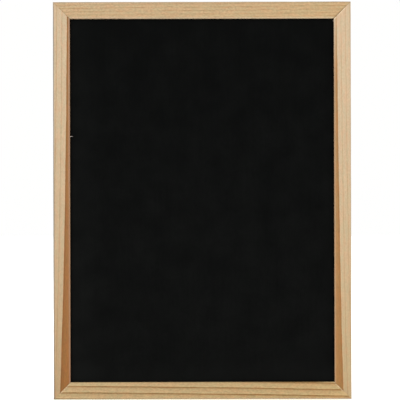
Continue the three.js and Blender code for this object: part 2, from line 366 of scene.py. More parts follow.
class ShapeTree:
    """A Geometry Nodes tree with named inputs, which grows plain meshes."""

    def __init__(self, name: str, inputs: dict[str, str]) -> None:
        """Makes the tree and its inputs.

        Args:
            name: the tree's name.
            inputs: the type of each input's socket, by the input's name.
        """
        self.tree = bpy.data.node_groups.new(name, "GeometryNodeTree")
        self.keys: dict[str, str] = {}
        for label, kind in {"Geometry": "Geometry", **inputs, "Material": "Material"}.items():
            socket = self.tree.interface.new_socket(
                label, in_out="INPUT", socket_type=f"NodeSocket{kind}"
            )
            self.keys[label] = socket.identifier
        self.tree.interface.new_socket(
            "Geometry", in_out="OUTPUT", socket_type="NodeSocketGeometry"
        )
        self.pen = NodePen(self.tree)
        self.entry = self.pen.node("NodeGroupInput")

    def given(self, name: str) -> Wire:
        """The wire of a named input."""
        return self.pen.wire(self.entry, name)

    def step(self, kind: str, settings: dict | None = None, sockets: dict | None = None) -> Wire:
        """Adds a node and returns its first output."""
        return Wire(self.pen, self.pen.node(kind, settings, sockets).outputs[0])

    def position(self) -> tuple[Wire, Wire, Wire]:
        """Where each point is."""
        return self.pen.split(self.step("GeometryNodeInputPosition"))

    def arris(self) -> Wire:
        """Reads the radius that each corner of the outline carries.

        Returns:
            The radius.
        """
        kind = {"data_type": "FLOAT"}
        made = self.pen.node("GeometryNodeInputNamedAttribute", kind, {"Name": ARRIS})
        return self.pen.wire(made, "Attribute")

    def rounded(self, curve: Wire, radius: Wire, facets: Term) -> Wire:
        """Rounds the corners of a curve.

        Args:
            curve: the curve.
            radius: radius of each corner.
            facets: how many points a round corner has.

        Returns:
            The rounded curve.
        """
        return self.step(
            "GeometryNodeFilletCurve",
            {"mode": "POLY"},
            {"Curve": curve, "Count": facets, "Radius": radius, "Limit Radius": True},
        )

    def outline(self, facets: Term) -> Wire:
        """The outline that flows in, as a curve whose corners have their own radii."""
        curve = self.step("GeometryNodeMeshToCurve", sockets={"Mesh": self.given("Geometry")})
        return self.rounded(curve, self.arris(), facets)

    def line(self, start: object, end: object) -> Wire:
        """A straight path from start to end."""
        return self.step("GeometryNodeCurvePrimitiveLine", sockets={"Start": start, "End": end})

    def rectangle(self, width: Wire, height: Wire) -> Wire:
        """A rectangle about the origin, as a curve."""
        sizes = {"Width": width, "Height": height}
        return self.step("GeometryNodeCurvePrimitiveQuadrilateral", {"mode": "RECTANGLE"}, sizes)

    def swept(self, path: Wire, profile: Wire, **more: object) -> Wire:
        """The closed solid that a profile leaves along a path."""
        sockets = {"Curve": path, "Profile Curve": profile, "Fill Caps": True, **more}
        return self.step("GeometryNodeCurveToMesh", sockets=sockets)

    def resampled(self, curve: Wire, count: Wire) -> Wire:
        """The curve with count evenly spaced points."""
        return self.step("GeometryNodeResampleCurve", sockets={"Curve": curve, "Count": count})

    def moved(self, geometry: Wire, **how: Wire) -> Wire:
        """The geometry with its points at a new Position, or moved by an Offset."""
        return self.step("GeometryNodeSetPosition", sockets={"Geometry": geometry, **how})

    def row(self, count: Term, spacing: Wire, height: Term = 0.0) -> Wire:
        """Points in a row along X, with the row's middle at X 0.

        Args:
            count: how many.
            spacing: from one to the next.
            height: Z of the row.

        Returns:
            The points.
        """
        start = self.pen.join((count - 1) * spacing * -0.5, 0.0, height)
        return self.step(
            "GeometryNodeMeshLine",
            {"mode": "OFFSET"},
            {"Count": count, "Start Location": start, "Offset": self.pen.join(spacing, 0.0, 0.0)},
        )

    def copies(self, points: Wire, thing: Wire, **more: object) -> Wire:
        """Puts a copy of a thing on each point.

        Args:
            points: the points.
            thing: the thing.
            more: how the copies are turned or scaled.

        Returns:
            The copies, as plain geometry.
        """
        sockets = {"Points": points, "Instance": thing, **more}
        placed = self.step("GeometryNodeInstanceOnPoints", sockets=sockets)
        return self.step("GeometryNodeRealizeInstances", sockets={"Geometry": placed})

    def boolean(self, operation: str, sockets: dict[str, object]) -> Wire:
        """An exact boolean of closed meshes."""
        how = {"operation": operation, "solver": "EXACT"}
        return self.pen.wire(self.pen.node("GeometryNodeMeshBoolean", how, sockets), "Mesh")

    def close(self, geometry: Wire) -> None:
        """Ends the tree with Realize Instances and Set Material.

        Args:
            geometry: the finished shape.
        """
        real = self.step("GeometryNodeRealizeInstances", sockets={"Geometry": geometry})
        dressed = self.step(
            "GeometryNodeSetMaterial",
            sockets={"Geometry": real, "Material": self.given("Material")},
        )
        self.pen.node("NodeGroupOutput", sockets={"Geometry": dressed})

    def grow(
        self, start: bpy.types.Mesh, values: dict[str, object], material: bpy.types.Material
    ) -> bpy.types.Mesh:
        """Runs the tree on a mesh.

        Args:
            start: the mesh that flows into the tree.
            values: the value of each named input.
            material: the finish of the result.

        Returns:
            The result as a plain mesh.
        """
        carrier = bpy.data.objects.new(f"{start.name}_carrier", start)
        bpy.context.scene.collection.objects.link(carrier)
        modifier = carrier.modifiers.new("shape", "NODES")
        modifier.node_group = self.tree
        for name, value in {**values, "Material": material}.items():
            modifier[self.keys[name]] = value
        made = Workshop.plain_mesh(carrier)
        carrier.modifiers.remove(modifier)
        bpy.data.objects.remove(carrier)
        with Workshop.reshaping(made) as shell:
            bmesh.ops.recalc_face_normals(shell, faces=shell.faces)
        return made


class Workshop:
    """Common work on meshes and pieces. A softened edge has edge_facets faces, and edges are softened
    where the mesh turns by more than edge_from."""

    edge_facets: ClassVar[int] = 2
    edge_from: ClassVar[float] = math.radians(35)

    @staticmethod
    def plain_mesh(carrier: bpy.types.Object) -> bpy.types.Mesh:
        """Applies an object's modifiers.

        Args:
            carrier: the object.

        Returns:
            Its evaluated mesh.
        """
        depsgraph = bpy.context.evaluated_depsgraph_get()
        return bpy.data.meshes.new_from_object(
            carrier.evaluated_get(depsgraph), preserve_all_data_layers=True, depsgraph=depsgraph
        )

    @staticmethod
    @contextmanager
    def reshaping(mesh: bpy.types.Mesh) -> Iterator[bmesh.types.BMesh]:
        """Opens a mesh to be changed, and writes the changes back at the end.

        Args:
            mesh: the mesh.

        Returns:
            Its shell, for the length of a with block.
        """
        shell = bmesh.new()
        shell.from_mesh(mesh)
        yield shell
        shell.to_mesh(mesh)
        shell.free()

    @staticmethod
    def solids(prefix: str) -> list[bpy.types.Object]:
        """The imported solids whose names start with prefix."""
        return [item for name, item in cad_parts.items() if name.startswith(prefix)]

    @staticmethod
    def outline_mesh(name: str, corners: list[Xyz], closed: bool) -> bpy.types.Mesh:
        """A run of corners as edges, each with the radius it is to be rounded to.

        Args:
            name: the mesh's name.
            corners: X, Y and radius of each corner, in metres.
            closed: whether the last corner joins the first.

        Returns:
            The mesh, with the radii in its attribute ARRIS.
        """
        mesh = bpy.data.meshes.new(name)
        count = len(corners)
        edges = [(index, (index + 1) % count) for index in range(count if closed else count - 1)]
        mesh.from_pydata([(x, y, 0.0) for x, y, _ in corners], edges, [])
        radii = mesh.attributes.new(ARRIS, "FLOAT", "POINT")
        radii.data.foreach_set("value", [radius for _, _, radius in corners])
        return mesh

    @staticmethod
    def merged_copy(objects: list[bpy.types.Object], name: str) -> bpy.types.Mesh:
        """Copies several objects' loose triangles, with doubles merged.

        Args:
            objects: the objects, which stay as they are.
            name: the copy's name.

        Returns:
            The copy, as one mesh.
        """
        mesh = bpy.data.meshes.new(name)
        with Workshop.reshaping(mesh) as shell:
            for source in objects:
                shell.from_mesh(source.data)
            Workshop.close_up(shell)
        return mesh

    @staticmethod
    def close_up(shell: bmesh.types.BMesh) -> None:
        """Merges a shell's doubles and turns its faces outwards."""
        bmesh.ops.remove_doubles(shell, verts=shell.verts, dist=DOUBLES)
        bmesh.ops.recalc_face_normals(shell, faces=shell.faces)

    @staticmethod
    def swell(mesh: bpy.types.Mesh, by: float) -> None:
        """Moves every point of a closed mesh outwards along its normal.

        Args:
            mesh: the mesh, which is changed.
            by: how far its faces move.
        """
        with Workshop.reshaping(mesh) as shell:
            shell.normal_update()
            moves = [(point, point.normal * by * point.calc_shell_factor()) for point in shell.verts]
            for point, move in moves:
                point.co += move

    @staticmethod
    def carve(mesh: bpy.types.Mesh, cutter: bpy.types.Mesh) -> bpy.types.Mesh:
        """Cuts one closed mesh out of another.

        Args:
            mesh: the mesh that is cut.
            cutter: what is taken away.

        Returns:
            The cut mesh.
        """
        body = bpy.data.objects.new("carve_body", mesh)
        tool = bpy.data.objects.new("carve_tool", cutter)
        for item in (body, tool):
            bpy.context.scene.collection.objects.link(item)
        cut = body.modifiers.new("cut", "BOOLEAN")
        cut.operation, cut.solver, cut.object = "DIFFERENCE", "MANIFOLD", tool
        result = Workshop.plain_mesh(body)
        for item in (body, tool):
            bpy.data.objects.remove(item)
        return result

    @staticmethod
    def softened(mesh: bpy.types.Mesh, width: float) -> bpy.types.Mesh:
        """Takes the sharpness off a mesh's edges.

        Args:
            mesh: the mesh to soften.
            width: how wide each edge becomes.

        Returns:
            The softened mesh.
        """
        body = bpy.data.objects.new("soften_body", mesh)
        bpy.context.scene.collection.objects.link(body)
        bevel = body.modifiers.new("edge", "BEVEL")
        bevel.width, bevel.segments = width, Workshop.edge_facets
        bevel.limit_method, bevel.angle_limit = "ANGLE", Workshop.edge_from
        bevel.use_clamp_overlap = True
        result = Workshop.plain_mesh(body)
        bpy.data.objects.remove(body)
        return result

    @staticmethod
    def shade(mesh: bpy.types.Mesh, crease: float) -> None:
        """Shades a mesh smooth, with a sharp edge wherever it turns by more than crease degrees."""
        mesh.shade_smooth()
        mesh.set_sharp_from_angle(angle=math.radians(crease))

    @staticmethod
    def dress(thing: bpy.types.Object | bpy.types.Mesh, material: bpy.types.Material) -> None:
        """Gives an object or a mesh its one material.

        Args:
            thing: the object or mesh.
            material: the material.
        """
        mesh = thing.data if isinstance(thing, bpy.types.Object) else thing
        mesh.materials.clear()
        mesh.materials.append(material)

    @staticmethod
    def place_piece(name: str, mesh: bpy.types.Mesh, slot: str, stands_for: list[str]) -> None:
        """Puts a finished mesh in the scene as a piece of the object.

        Args:
            name: the piece's name.
            mesh: the mesh, already where it belongs.
            slot: not used.
            stands_for: the solids that it replaces.
        """
        mesh.name = name
        piece = bpy.data.objects.new(name, mesh)
        bpy.context.scene.collection.objects.link(piece)
        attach(piece, "root")
        if stands_for:
            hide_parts(*stands_for)
        LOG.info("%s: %d faces, stands for %s", name, len(mesh.polygons), stands_for or "nothing")


# Sizes that the sub-assemblies share


@dataclass(frozen=True)
class BoardSizes:
    """The whole board, from the solids' box, and the moulding of its frame, as in the solids.
    hang_height is how far the nail is above the board's middle."""

    width: float = round(CAD_BOX[1][0] - CAD_BOX[0][0], 6)
    height: float = round(CAD_BOX[1][2] - CAD_BOX[0][2], 6)
    rail_depth: float = round(-CAD_BOX[0][1], 6)
    hang_height: float = round(-(CAD_BOX[0][2] + CAD_BOX[1][2]) / 2, 6)
    rail_width: float = 17 * MM
    lip_thickness: float = 4 * MM
    rebate_width: float = 5 * MM

    @property
    def land_width(self) -> float:
        """Width of the moulding's back, outside the rebate."""
        return self.rail_width - self.rebate_width

    @property
    def bottom(self) -> float:
        """Height of the lower edge."""
        return -self.hang_height - self.height / 2


BOARD = BoardSizes()


class Side(Enum):
    """A side of the frame, as the number of quarter turns about Y from the top one."""

    TOP = 0
    RIGHT = 1
    BOTTOM = 2
    LEFT = -1

    @property
    def label(self) -> str:
        """The side's name in piece names."""
        return self.name.lower()

    @property
    def kind(self) -> str:
        """What a length of moulding on this side is called."""
        return "stile" if self.upright else "rail"

    @property
    def upright(self) -> bool:
        """Whether the side is a stile."""
        return self in (Side.LEFT, Side.RIGHT)

    @property
    def length(self) -> float:
        """Length of the side at its outer edge."""
        return BOARD.height if self.upright else BOARD.width

    @property
    def reading(self) -> int:
        """1 where the side's own X runs down or to the right as the board is read, or -1."""
        return 1 if self in (Side.TOP, Side.RIGHT) else -1

    @property
    def placement(self) -> Matrix:
        """Where the side goes.

        Returns:
            What takes a side drawn as the top one, with Z 0 at its outer edge, to its place.
        """
        turn = self.value * math.pi / 2
        reach = (BOARD.width if self.upright else BOARD.height) / 2
        place = Vector((reach * math.sin(turn), 0, reach * math.cos(turn) - BOARD.hang_height))
        return Matrix.Translation(place) @ Matrix.Rotation(turn, 4, "Y")


# Finishes


class Finish(ABC):
    """A surface finish that varies over the surface. label is the material's name."""

    label: ClassVar[str]

    @abstractmethod
    def draw(self, pen: NodePen, place: Wire) -> dict[str, object]:
        """Draws the finish.

        Args:
            pen: adds the nodes.
            place: where on the object, in millimetres.

        Returns:
            A value or a wire for each input of the surface shader.
        """

    def material(self) -> bpy.types.Material:
        """Makes the material.

        Returns:
            The new material.
        """
        made = bpy.data.materials.new(self.label)
        made.use_nodes = True
        made.node_tree.nodes.clear()
        pen = NodePen(made.node_tree)
        metres = pen.wire(pen.node("ShaderNodeTexCoord"), "Object")
        place = pen.vector_math("SCALE", metres, 1 / MM)
        shader = pen.node("ShaderNodeBsdfPrincipled", sockets=self.draw(pen, place))
        pen.node("ShaderNodeOutputMaterial", sockets={"Surface": pen.wire(shader, "BSDF")})
        return made


@dataclass(frozen=True)
class HeartStreak:
    """A band of darker heartwood along the sight edge of a stile. start and end are its colours at
    the ends that are read first and last, and deep is the colour of its rim. fray is how far its
    edge is drawn out along the fibres, in millimetres, and comes_in is the share of the length over
    which it darkens to its full strength."""

    start: Rgb
    end: Rgb
    deep: Rgb
    fray: float = 0.35
    comes_in: float = 0.0


@dataclass(frozen=True)
class MitreEdge:
    """How an end of a length of pine looks right beside its mitre: how strong a brown line of dirt
    is, a pale line of torn fibres, and a dull patch near the outer corner, each from 0 to 1."""

    dirt: float = 0.0
    pale: float = 0.0
    dull: float = 0.0


@dataclass(frozen=True)
class Timber:
    """Colour and grain of one length of pine, in millimetres. drift and ring are what is left of
    the pale colour late in a year's growth and in its dark line, and painted_sheen is how strong the
    painted sheen of light on the sight arris is. ring_edge gives how far one such line lies from the
    sight edge, as a quadratic of the share of the length, and ring_start is where in a year the line
    sets in. tilt is how steeply the rings run in from the face, wander how far they sway, mottle how
    strong the fine unevenness is, outer_shade_strength how strong the painted shade on the outer
    arris is, and patchy how much the lines fade."""

    pale_start: Rgb
    pale_end: Rgb
    drift: Rgb
    ring: Rgb
    painted_sheen: float
    ring_spacing: float
    ring_start: float
    ring_edge: tuple[float, float, float]
    grows_outwards: bool
    seed: float
    tilt: float = 0.45
    wander: float = 1.2
    mottle: float = 1.5
    outer_shade_strength: float = 0.26
    patchy: float = 0.4
    heart: HeartStreak | None = None
    near_mitre: MitreEdge = MitreEdge()
    far_mitre: MitreEdge = MitreEdge()


class PinePattern(Enum):
    """The noises in pine, sized along the grain, across it and in from the face. Only CANALS is a
    scatter of points."""

    WANDER = Pattern((110, 30, 30), 0, 1.5)
    RIPPLE = Pattern((16, 2.6, 2.6), 1)
    FIBRES = Pattern((26, 0.55, 0.7), 2, 3.0, 0.6)
    THREADS = Pattern((9, 0.16, 0.2), 3, 2.0, 0.6)
    CLOUDS = Pattern((34, 4.2, 5), 4)
    HUE = Pattern((9, 2.6, 3.4), 5)
    FRAY = Pattern((22, 0.6, 0.6), 6)
    FLECKS = Pattern((7, 0.9, 1.1), 7, 3.0, 0.6)
    CANALS = Pattern((7.5, 0.75, 0.75), 8)
    CANAL_PATCHES = Pattern((30, 5, 5), 9)
    ARRIS = Pattern((24, 2.0, 2.0), 10)
    MITRE = Pattern((3.2, 1.6, 3.0), 11)
    PLANING = Pattern((40, 9, 9), 12)
    TICKS = Pattern((2.3, 1.5, 1.8), 13, 3.0, 0.6)
    JITTER = Pattern((2.4, 1.3, 1.3), 14)
    FADES = Pattern((19, 2.2, 2.4), 15)


@dataclass(frozen=True)
class WoodSpot:
    """Where a point lies in its length of wood, in millimetres: along from the end that is read
    first, across from the outer edge, depth in from the face, and sight from the sight edge. grain
    is the first three as one vector, and share is along as a share of the length."""

    pen: NodePen
    seed: float
    length: float
    along: Wire
    across: Wire
    depth: Wire
    sight: Wire
    grain: Wire
    share: Wire

    def noise(self, pattern: PinePattern) -> Wire:
        """One of the noises in pine, at this point."""
        return self.pen.noise(self.grain, pattern.value, self.seed)


@dataclass(frozen=True)
class PineBands:
    """Where each thing in pine sets in and where it is full. The first seven are levels of a noise or
    of a scatter, and ring_close is a share of a year. The rest are in millimetres, from the edge of
    the heartwood, from the sight edge, the outer edge or the face, or from a mitre."""

    fades: Band = (0.62, 0.4)
    canals: Band = (0.2, 0.08)
    canal_patches: Band = (0.42, 0.62)
    flecks: Band = (0.4, 0.62)
    warmth: Band = (0.34, 0.66)
    planed: Band = (0.4, 0.65)
    torn_patches: Band = (0.44, 0.58)
    ring_close: Band = (1.0, 0.965)
    heart: Band = (0.22, -0.3)
    heart_rim: Band = (-2.6, -0.3)
    heart_inner: Band = (-3.0, -5.5)
    # painted sheen: where light is painted on the sight arris, across and in from the face
    sanded: Band = (1.75, 0.75)
    sanded_depth: Band = (4.5, 2.0)
    # painted shade: where the outer arris is darkened, across and in from the face
    handled: Band = (1.6, 0.8)
    handled_depth: Band = (2.6, 1.2)
    rough_back: Band = (9, 13)
    inwards: Band = (1.0, 11.0)
    joint: Band = (0.4, 0.05)
    dirt: Band = (1.5, 0.35)
    dull: Band = (6.0, 0.5)
    dull_corner: Band = (9.0, 3.5)
    torn: Band = (1.6, 0.8)
    torn_clear: Band = (0.1, 0.4)
    torn_inwards: Band = (4.0, 7.0)


@dataclass(frozen=True)
class PineRelief:
    """How far each thing stands up from the wood, or sinks into it, in millimetres. The planer's
    marks are deeper on the back, where the fibres also stand up more, by rough_back."""

    latewood: float = 0.03
    fibres: float = 0.05
    threads: float = 0.035
    canals: float = 0.03
    planing: float = 0.0015
    back_planing: float = 0.006
    rough_back: float = 1.6
    planer_pitch: float = 1.7
    planer_slant: float = 0.4


@dataclass(frozen=True)
class PineFinish(Finish):
    """Bare, sanded pine: growth rings, heartwood, fibres, resin canals and sanded arrises, with a
    painted sheen of light on the sight arris and painted shade on the outer one. Its colours are as
    seen in the photograph's light, but for painted_sheen, warm and cool, which are what is added to the
    wood's own colour and what that is multiplied by. A year's latewood is full at ring_full, a share
    of the year, and a larger ring_power has it set in later."""

    side: Side
    timber: Timber
    front_light: float
    fibre: float = 0.075
    # painted sheen: the neutral light that is added on the sight arris
    painted_sheen: Rgb = (0.047, 0.058, 0.061)
    # painted shade: the grey that the outer arris is darkened towards
    handled: Rgb = (150, 140, 128)
    joint_line: Rgb = (104, 74, 42)
    dirt: Rgb = (138, 104, 60)
    dulled: Rgb = (194, 167, 130)
    torn: Rgb = (252, 226, 188)
    warm: Rgb = (1.045, 0.98, 0.96)
    cool: Rgb = (0.965, 1.015, 1.01)
    ripple: float = 0.5
    jitter: float = 0.35
    canal_shade: float = 0.16
    joint_shade: float = 0.34
    ring_full: float = 0.94
    ring_power: float = 1.3
    bands: PineBands = PineBands()
    relief: PineRelief = PineRelief()

    @property
    def label(self) -> str:
        """The material's name."""
        return f"pine_{self.side.label}"

    def tone(self, colour: Rgb) -> Rgb:
        """The wood's own colour, for one that is seen in the photograph's light."""
        return tuple(share / self.front_light for share in linear(*colour))

    def draw(self, pen: NodePen, place: Wire) -> dict[str, object]:
        """Draws the pine.

        Args:
            pen: adds the nodes.
            place: where on the object, in millimetres.

        Returns:
            A value or a wire for each input of the surface shader.
        """
        spot = self._spot(pen, place)
        beyond = self._beyond(spot)
        wood, hard = self._years(spot, beyond)
        if self.timber.heart:
            wood, hard = self._heartwood(spot, wood, hard, beyond)
        fibres, threads = spot.noise(PinePattern.FIBRES), spot.noise(PinePattern.THREADS)
        canals = self._canals(spot)
        wood = self._worn(spot, wood, fibres, threads, canals)
        wood = self._mitres(spot, self._arrises(spot, wood))
        return {
            "Base Color": wood,
            "Roughness": 0.66 - hard * 0.1 + (threads - 0.5) * 0.2,
            "Specular IOR Level": 0.25,
            "Normal": pen.bump(self._relief(spot, hard, fibres, threads, canals)),
        }

    def _spot(self, pen: NodePen, place: Wire) -> WoodSpot:
        """Finds where a point lies in its length of wood.

        Args:
            pen: adds the nodes.
            place: where on the object, in millimetres.

        Returns:
            Where it lies in the wood.
        """
        back = self.side.placement.inverted()
        location, rotation = tuple(back.translation / MM), tuple(back.to_euler("XYZ"))
        turned = pen.node(
            "ShaderNodeMapping",
            {"vector_type": "POINT"},
            {"Vector": place, "Location": location, "Rotation": rotation},
        )
        x, y, z = pen.split(pen.wire(turned, "Vector"))
        length = self.side.length / MM
        along, across = x * self.side.reading + length / 2, z * -1
        depth, sight = y + BOARD.rail_depth / MM, BOARD.rail_width / MM - across
        grain = pen.join(along, across, depth)
        seed, share = self.timber.seed, along / length
        return WoodSpot(pen, seed, length, along, across, depth, sight, grain, share)

    def _beyond(self, spot: WoodSpot) -> Wire:
        """Works out how far outside a growth ring a point lies.

        Args:
            spot: where in the wood.

        Returns:
            Millimetres outside the ring that ring_edge describes.
        """
        timber, share = self.timber, spot.share
        wander = spot.noise(PinePattern.WANDER) - 0.5
        ripple = spot.noise(PinePattern.RIPPLE) - 0.5
        jitter = spot.noise(PinePattern.JITTER) - 0.5
        first, second, third = timber.ring_edge
        edge = first + share * second + share * share * third
        beyond = spot.sight - edge + spot.depth * timber.tilt + wander * timber.wander
        return beyond + ripple * self.ripple + jitter * self.jitter

    def _years(self, spot: WoodSpot, beyond: Wire) -> tuple[Wire, Wire]:
        """Draws the growth rings, each a slow darkening that ends in a line of latewood.

        Args:
            spot: where in the wood.
            beyond: millimetres outside one of the rings.

        Returns:
            The wood's colour, and its hardness from 0 to 1.
        """
        pen, timber, bands = spot.pen, self.timber, self.bands
        rings = beyond * ((1 if timber.grows_outwards else -1) / timber.ring_spacing)
        phase = pen.math("FRACT", rings)
        year = pen.node(
            "ShaderNodeTexWhiteNoise",
            {"noise_dimensions": "1D"},
            {"W": pen.math("FLOOR", rings) + timber.seed},
        )
        fades = spot.noise(PinePattern.FADES).ease(*bands.fades)
        thrift = (0.75 + pen.wire(year, "Value") * 0.5) * (1 - fades * timber.patchy)
        late = phase.ease(timber.ring_start, self.ring_full) ** self.ring_power
        hard = late * phase.ease(*bands.ring_close) * thrift
        pale = pen.mix(self.tone(timber.pale_start), self.tone(timber.pale_end), spot.share**1.5)
        wood = pen.mix(pale, pen.vector_math("MULTIPLY", pale, timber.drift), phase)
        return pen.mix(wood, pen.vector_math("MULTIPLY", pale, timber.ring), hard), hard

    def _heartwood(
        self, spot: WoodSpot, wood: Wire, hard: Wire, beyond: Wire
    ) -> tuple[Wire, Wire]:
        """Lays the heartwood band over the sapwood.

        Args:
            spot: where in the wood.
            wood: colour so far.
            hard: hardness so far, 0 to 1.
            beyond: millimetres outside the band's edge.

        Returns:
            The new colour and hardness.
        """
        pen, heart, bands = spot.pen, self.timber.heart, self.bands
        flecks = spot.noise(PinePattern.FLECKS)
        inside = beyond + (spot.noise(PinePattern.FRAY) - 0.5) * (2 * heart.fray)
        mask = inside.ease(*bands.heart)
        if heart.comes_in:
            mask = mask * (0.3 + spot.share.ease(0.0, heart.comes_in) * 0.7)
        rim = inside.ease(*bands.heart_rim) * 0.75 + 0.25 * flecks.ease(*bands.flecks)
        body = pen.mix(self.tone(heart.start), self.tone(heart.end), spot.share)
        body = pen.mix(body, self.tone(heart.deep), rim * 0.8)
        blotch = 1 + (flecks - 0.5) * 0.8
        inner = inside.ease(*bands.heart_inner)
        body = pen.vector_math("SCALE", body, blotch + inner * 0.1)
        return pen.mix(wood, body, mask), hard.most(mask * 0.7)

    def _canals(self, spot: WoodSpot) -> Wire:
        """Draws the resin canals: thin dark dashes along the grain.

        Args:
            spot: where in the wood.

        Returns:
            Where they are, 0 to 1.
        """
        dashes = spot.pen.cells(spot.grain, PinePattern.CANALS.value, spot.seed)
        patches = spot.noise(PinePattern.CANAL_PATCHES)
        return dashes.ease(*self.bands.canals) * patches.ease(*self.bands.canal_patches)

    def _worn(
        self, spot: WoodSpot, wood: Wire, fibres: Wire, threads: Wire, canals: Wire
    ) -> Wire:
        """Adds the fibres, the canals and the mottle to the colour.

        Args:
            spot: where in the wood.
            wood: colour so far.
            fibres: the noise of the fibres.
            threads: the noise of the finest fibres.
            canals: where the resin canals are.

        Returns:
            The new colour.
        """
        pen = spot.pen
        clouds, ticks = spot.noise(PinePattern.CLOUDS), spot.noise(PinePattern.TICKS)
        worn = 1 + (fibres - 0.5) * (3.2 * self.fibre) + (threads - 0.5) * (2.4 * self.fibre)
        worn = worn + (clouds - 0.5) * (1.6 * self.fibre) - canals * self.canal_shade
        worn = worn + (ticks - 0.5) * (3.2 * self.fibre * self.timber.mottle)
        wood = pen.vector_math("SCALE", wood, worn)
        warm = pen.vector_math("MULTIPLY", wood, self.warm)
        cool = pen.vector_math("MULTIPLY", wood, self.cool)
        return pen.mix(cool, warm, spot.noise(PinePattern.HUE).ease(*self.bands.warmth))

    def _arrises(self, spot: WoodSpot, wood: Wire) -> Wire:
        """Paints a sheen of light on the sanded arris round the panel, and paints shade on the outer
        one.

        Args:
            spot: where in the wood.
            wood: colour so far.

        Returns:
            The new colour.
        """
        bands, uneven = self.bands, spot.noise(PinePattern.ARRIS) - 0.5
        # painted highlight: a neutral sheen of light added along the sight arris, stronger on the sides
        # that face the light
        sanded = (spot.sight + uneven * 0.9).ease(*bands.sanded)
        sanded = sanded * spot.depth.ease(*bands.sanded_depth)
        wood = spot.pen.mix(wood, self.painted_sheen, sanded * self.timber.painted_sheen, "ADD")
        # painted shade: the outer arris darkened towards grey, as where it turns away from the light
        handled = (spot.across + uneven * 0.6).ease(*bands.handled)
        handled = handled * spot.depth.ease(*bands.handled_depth)
        return spot.pen.mix(wood, self.tone(self.handled), handled * self.timber.outer_shade_strength)

    def _mitres(self, spot: WoodSpot, wood: Wire) -> Wire:
        """Shades the wood beside each mitre towards the panel, and pales its torn fibres.

        Args:
            spot: where in the wood.
            wood: colour so far.

        Returns:
            The new colour.
        """
        pen, across, bands = spot.pen, spot.across, self.bands
        uneven = spot.noise(PinePattern.MITRE)
        inwards = across.ease(*bands.inwards)
        ends = ((self.timber.near_mitre, spot.along), (self.timber.far_mitre, spot.length - spot.along))
        for edge, from_end in ends:
            off = (from_end - across) * math.sqrt(0.5)
            line = off.ease(*bands.joint) * (0.05 + inwards * 0.7) * (0.3 + uneven)
            wood = pen.mix(wood, self.tone(self.joint_line), line * self.joint_shade)
            if edge.dirt:
                band = off.ease(*bands.dirt) * inwards * (0.4 + uneven)
                wood = pen.mix(wood, self.tone(self.dirt), band * edge.dirt)
            if edge.dull:
                band = off.ease(*bands.dull) * across.ease(*bands.dull_corner)
                wood = pen.mix(wood, self.tone(self.dulled), band * edge.dull)
            if edge.pale:
                band = off.ease(*bands.torn) * off.ease(*bands.torn_clear)
                band = band * uneven.ease(*bands.torn_patches) * across.ease(*bands.torn_inwards)
                wood = pen.mix(wood, self.tone(self.torn), band * edge.pale)
        return wood

    def _relief(
        self, spot: WoodSpot, hard: Wire, fibres: Wire, threads: Wire, canals: Wire
    ) -> Wire:
        """Raises the latewood and the fibres, and sinks the canals and the planer's marks.

        Args:
            spot: where in the wood.
            hard: hardness, 0 to 1.
            fibres: the noise of the fibres.
            threads: the noise of the finest fibres.
            canals: where the resin canals are.

        Returns:
            Height of the surface, in millimetres.
        """
        high = self.relief
        wave = spot.along * (2 * math.pi / high.planer_pitch) + spot.depth * high.planer_slant
        patchy = spot.noise(PinePattern.PLANING).ease(*self.bands.planed)
        back = spot.depth.ease(*self.bands.rough_back)
        planing = spot.pen.math("SINE", wave) * patchy * (high.planing + back * high.back_planing)
        fibre = (fibres - 0.5) * high.fibres + (threads - 0.5) * high.threads
        fibre = fibre * (1 + back * high.rough_back)
        return hard * high.latewood + fibre + planing - canals * high.canals


@dataclass(frozen=True)
class TornFibre(Finish):
    """Bleached end of a fibre that stands off the sanded wood. paling is the band of the noise over
    which it pales."""

    label: ClassVar[str] = "torn_fibre"
    pale: Rgb = (206, 196, 190)
    dark: Rgb = (150, 134, 124)
    strand_height: float = 0.02
    paling: Band = (0.3, 0.6)
    strands: Pattern = Pattern((1.6, 0.12, 0.12), 3.0)

    def draw(self, pen: NodePen, place: Wire) -> dict[str, object]:
        """Draws the fibre.

        Args:
            pen: adds the nodes.
            place: where on the object, in millimetres.

        Returns:
            A value or a wire for each input of the surface shader.
        """
        strands = pen.noise(place, self.strands)
        share = strands.ease(*self.paling)
        return {
            "Base Color": pen.mix(linear(*self.dark), linear(*self.pale), share),
            "Roughness": 0.7 + (strands - 0.5) * 0.2,
            "Specular IOR Level": 0.2,
            "Normal": pen.bump(strands * self.strand_height),
        }


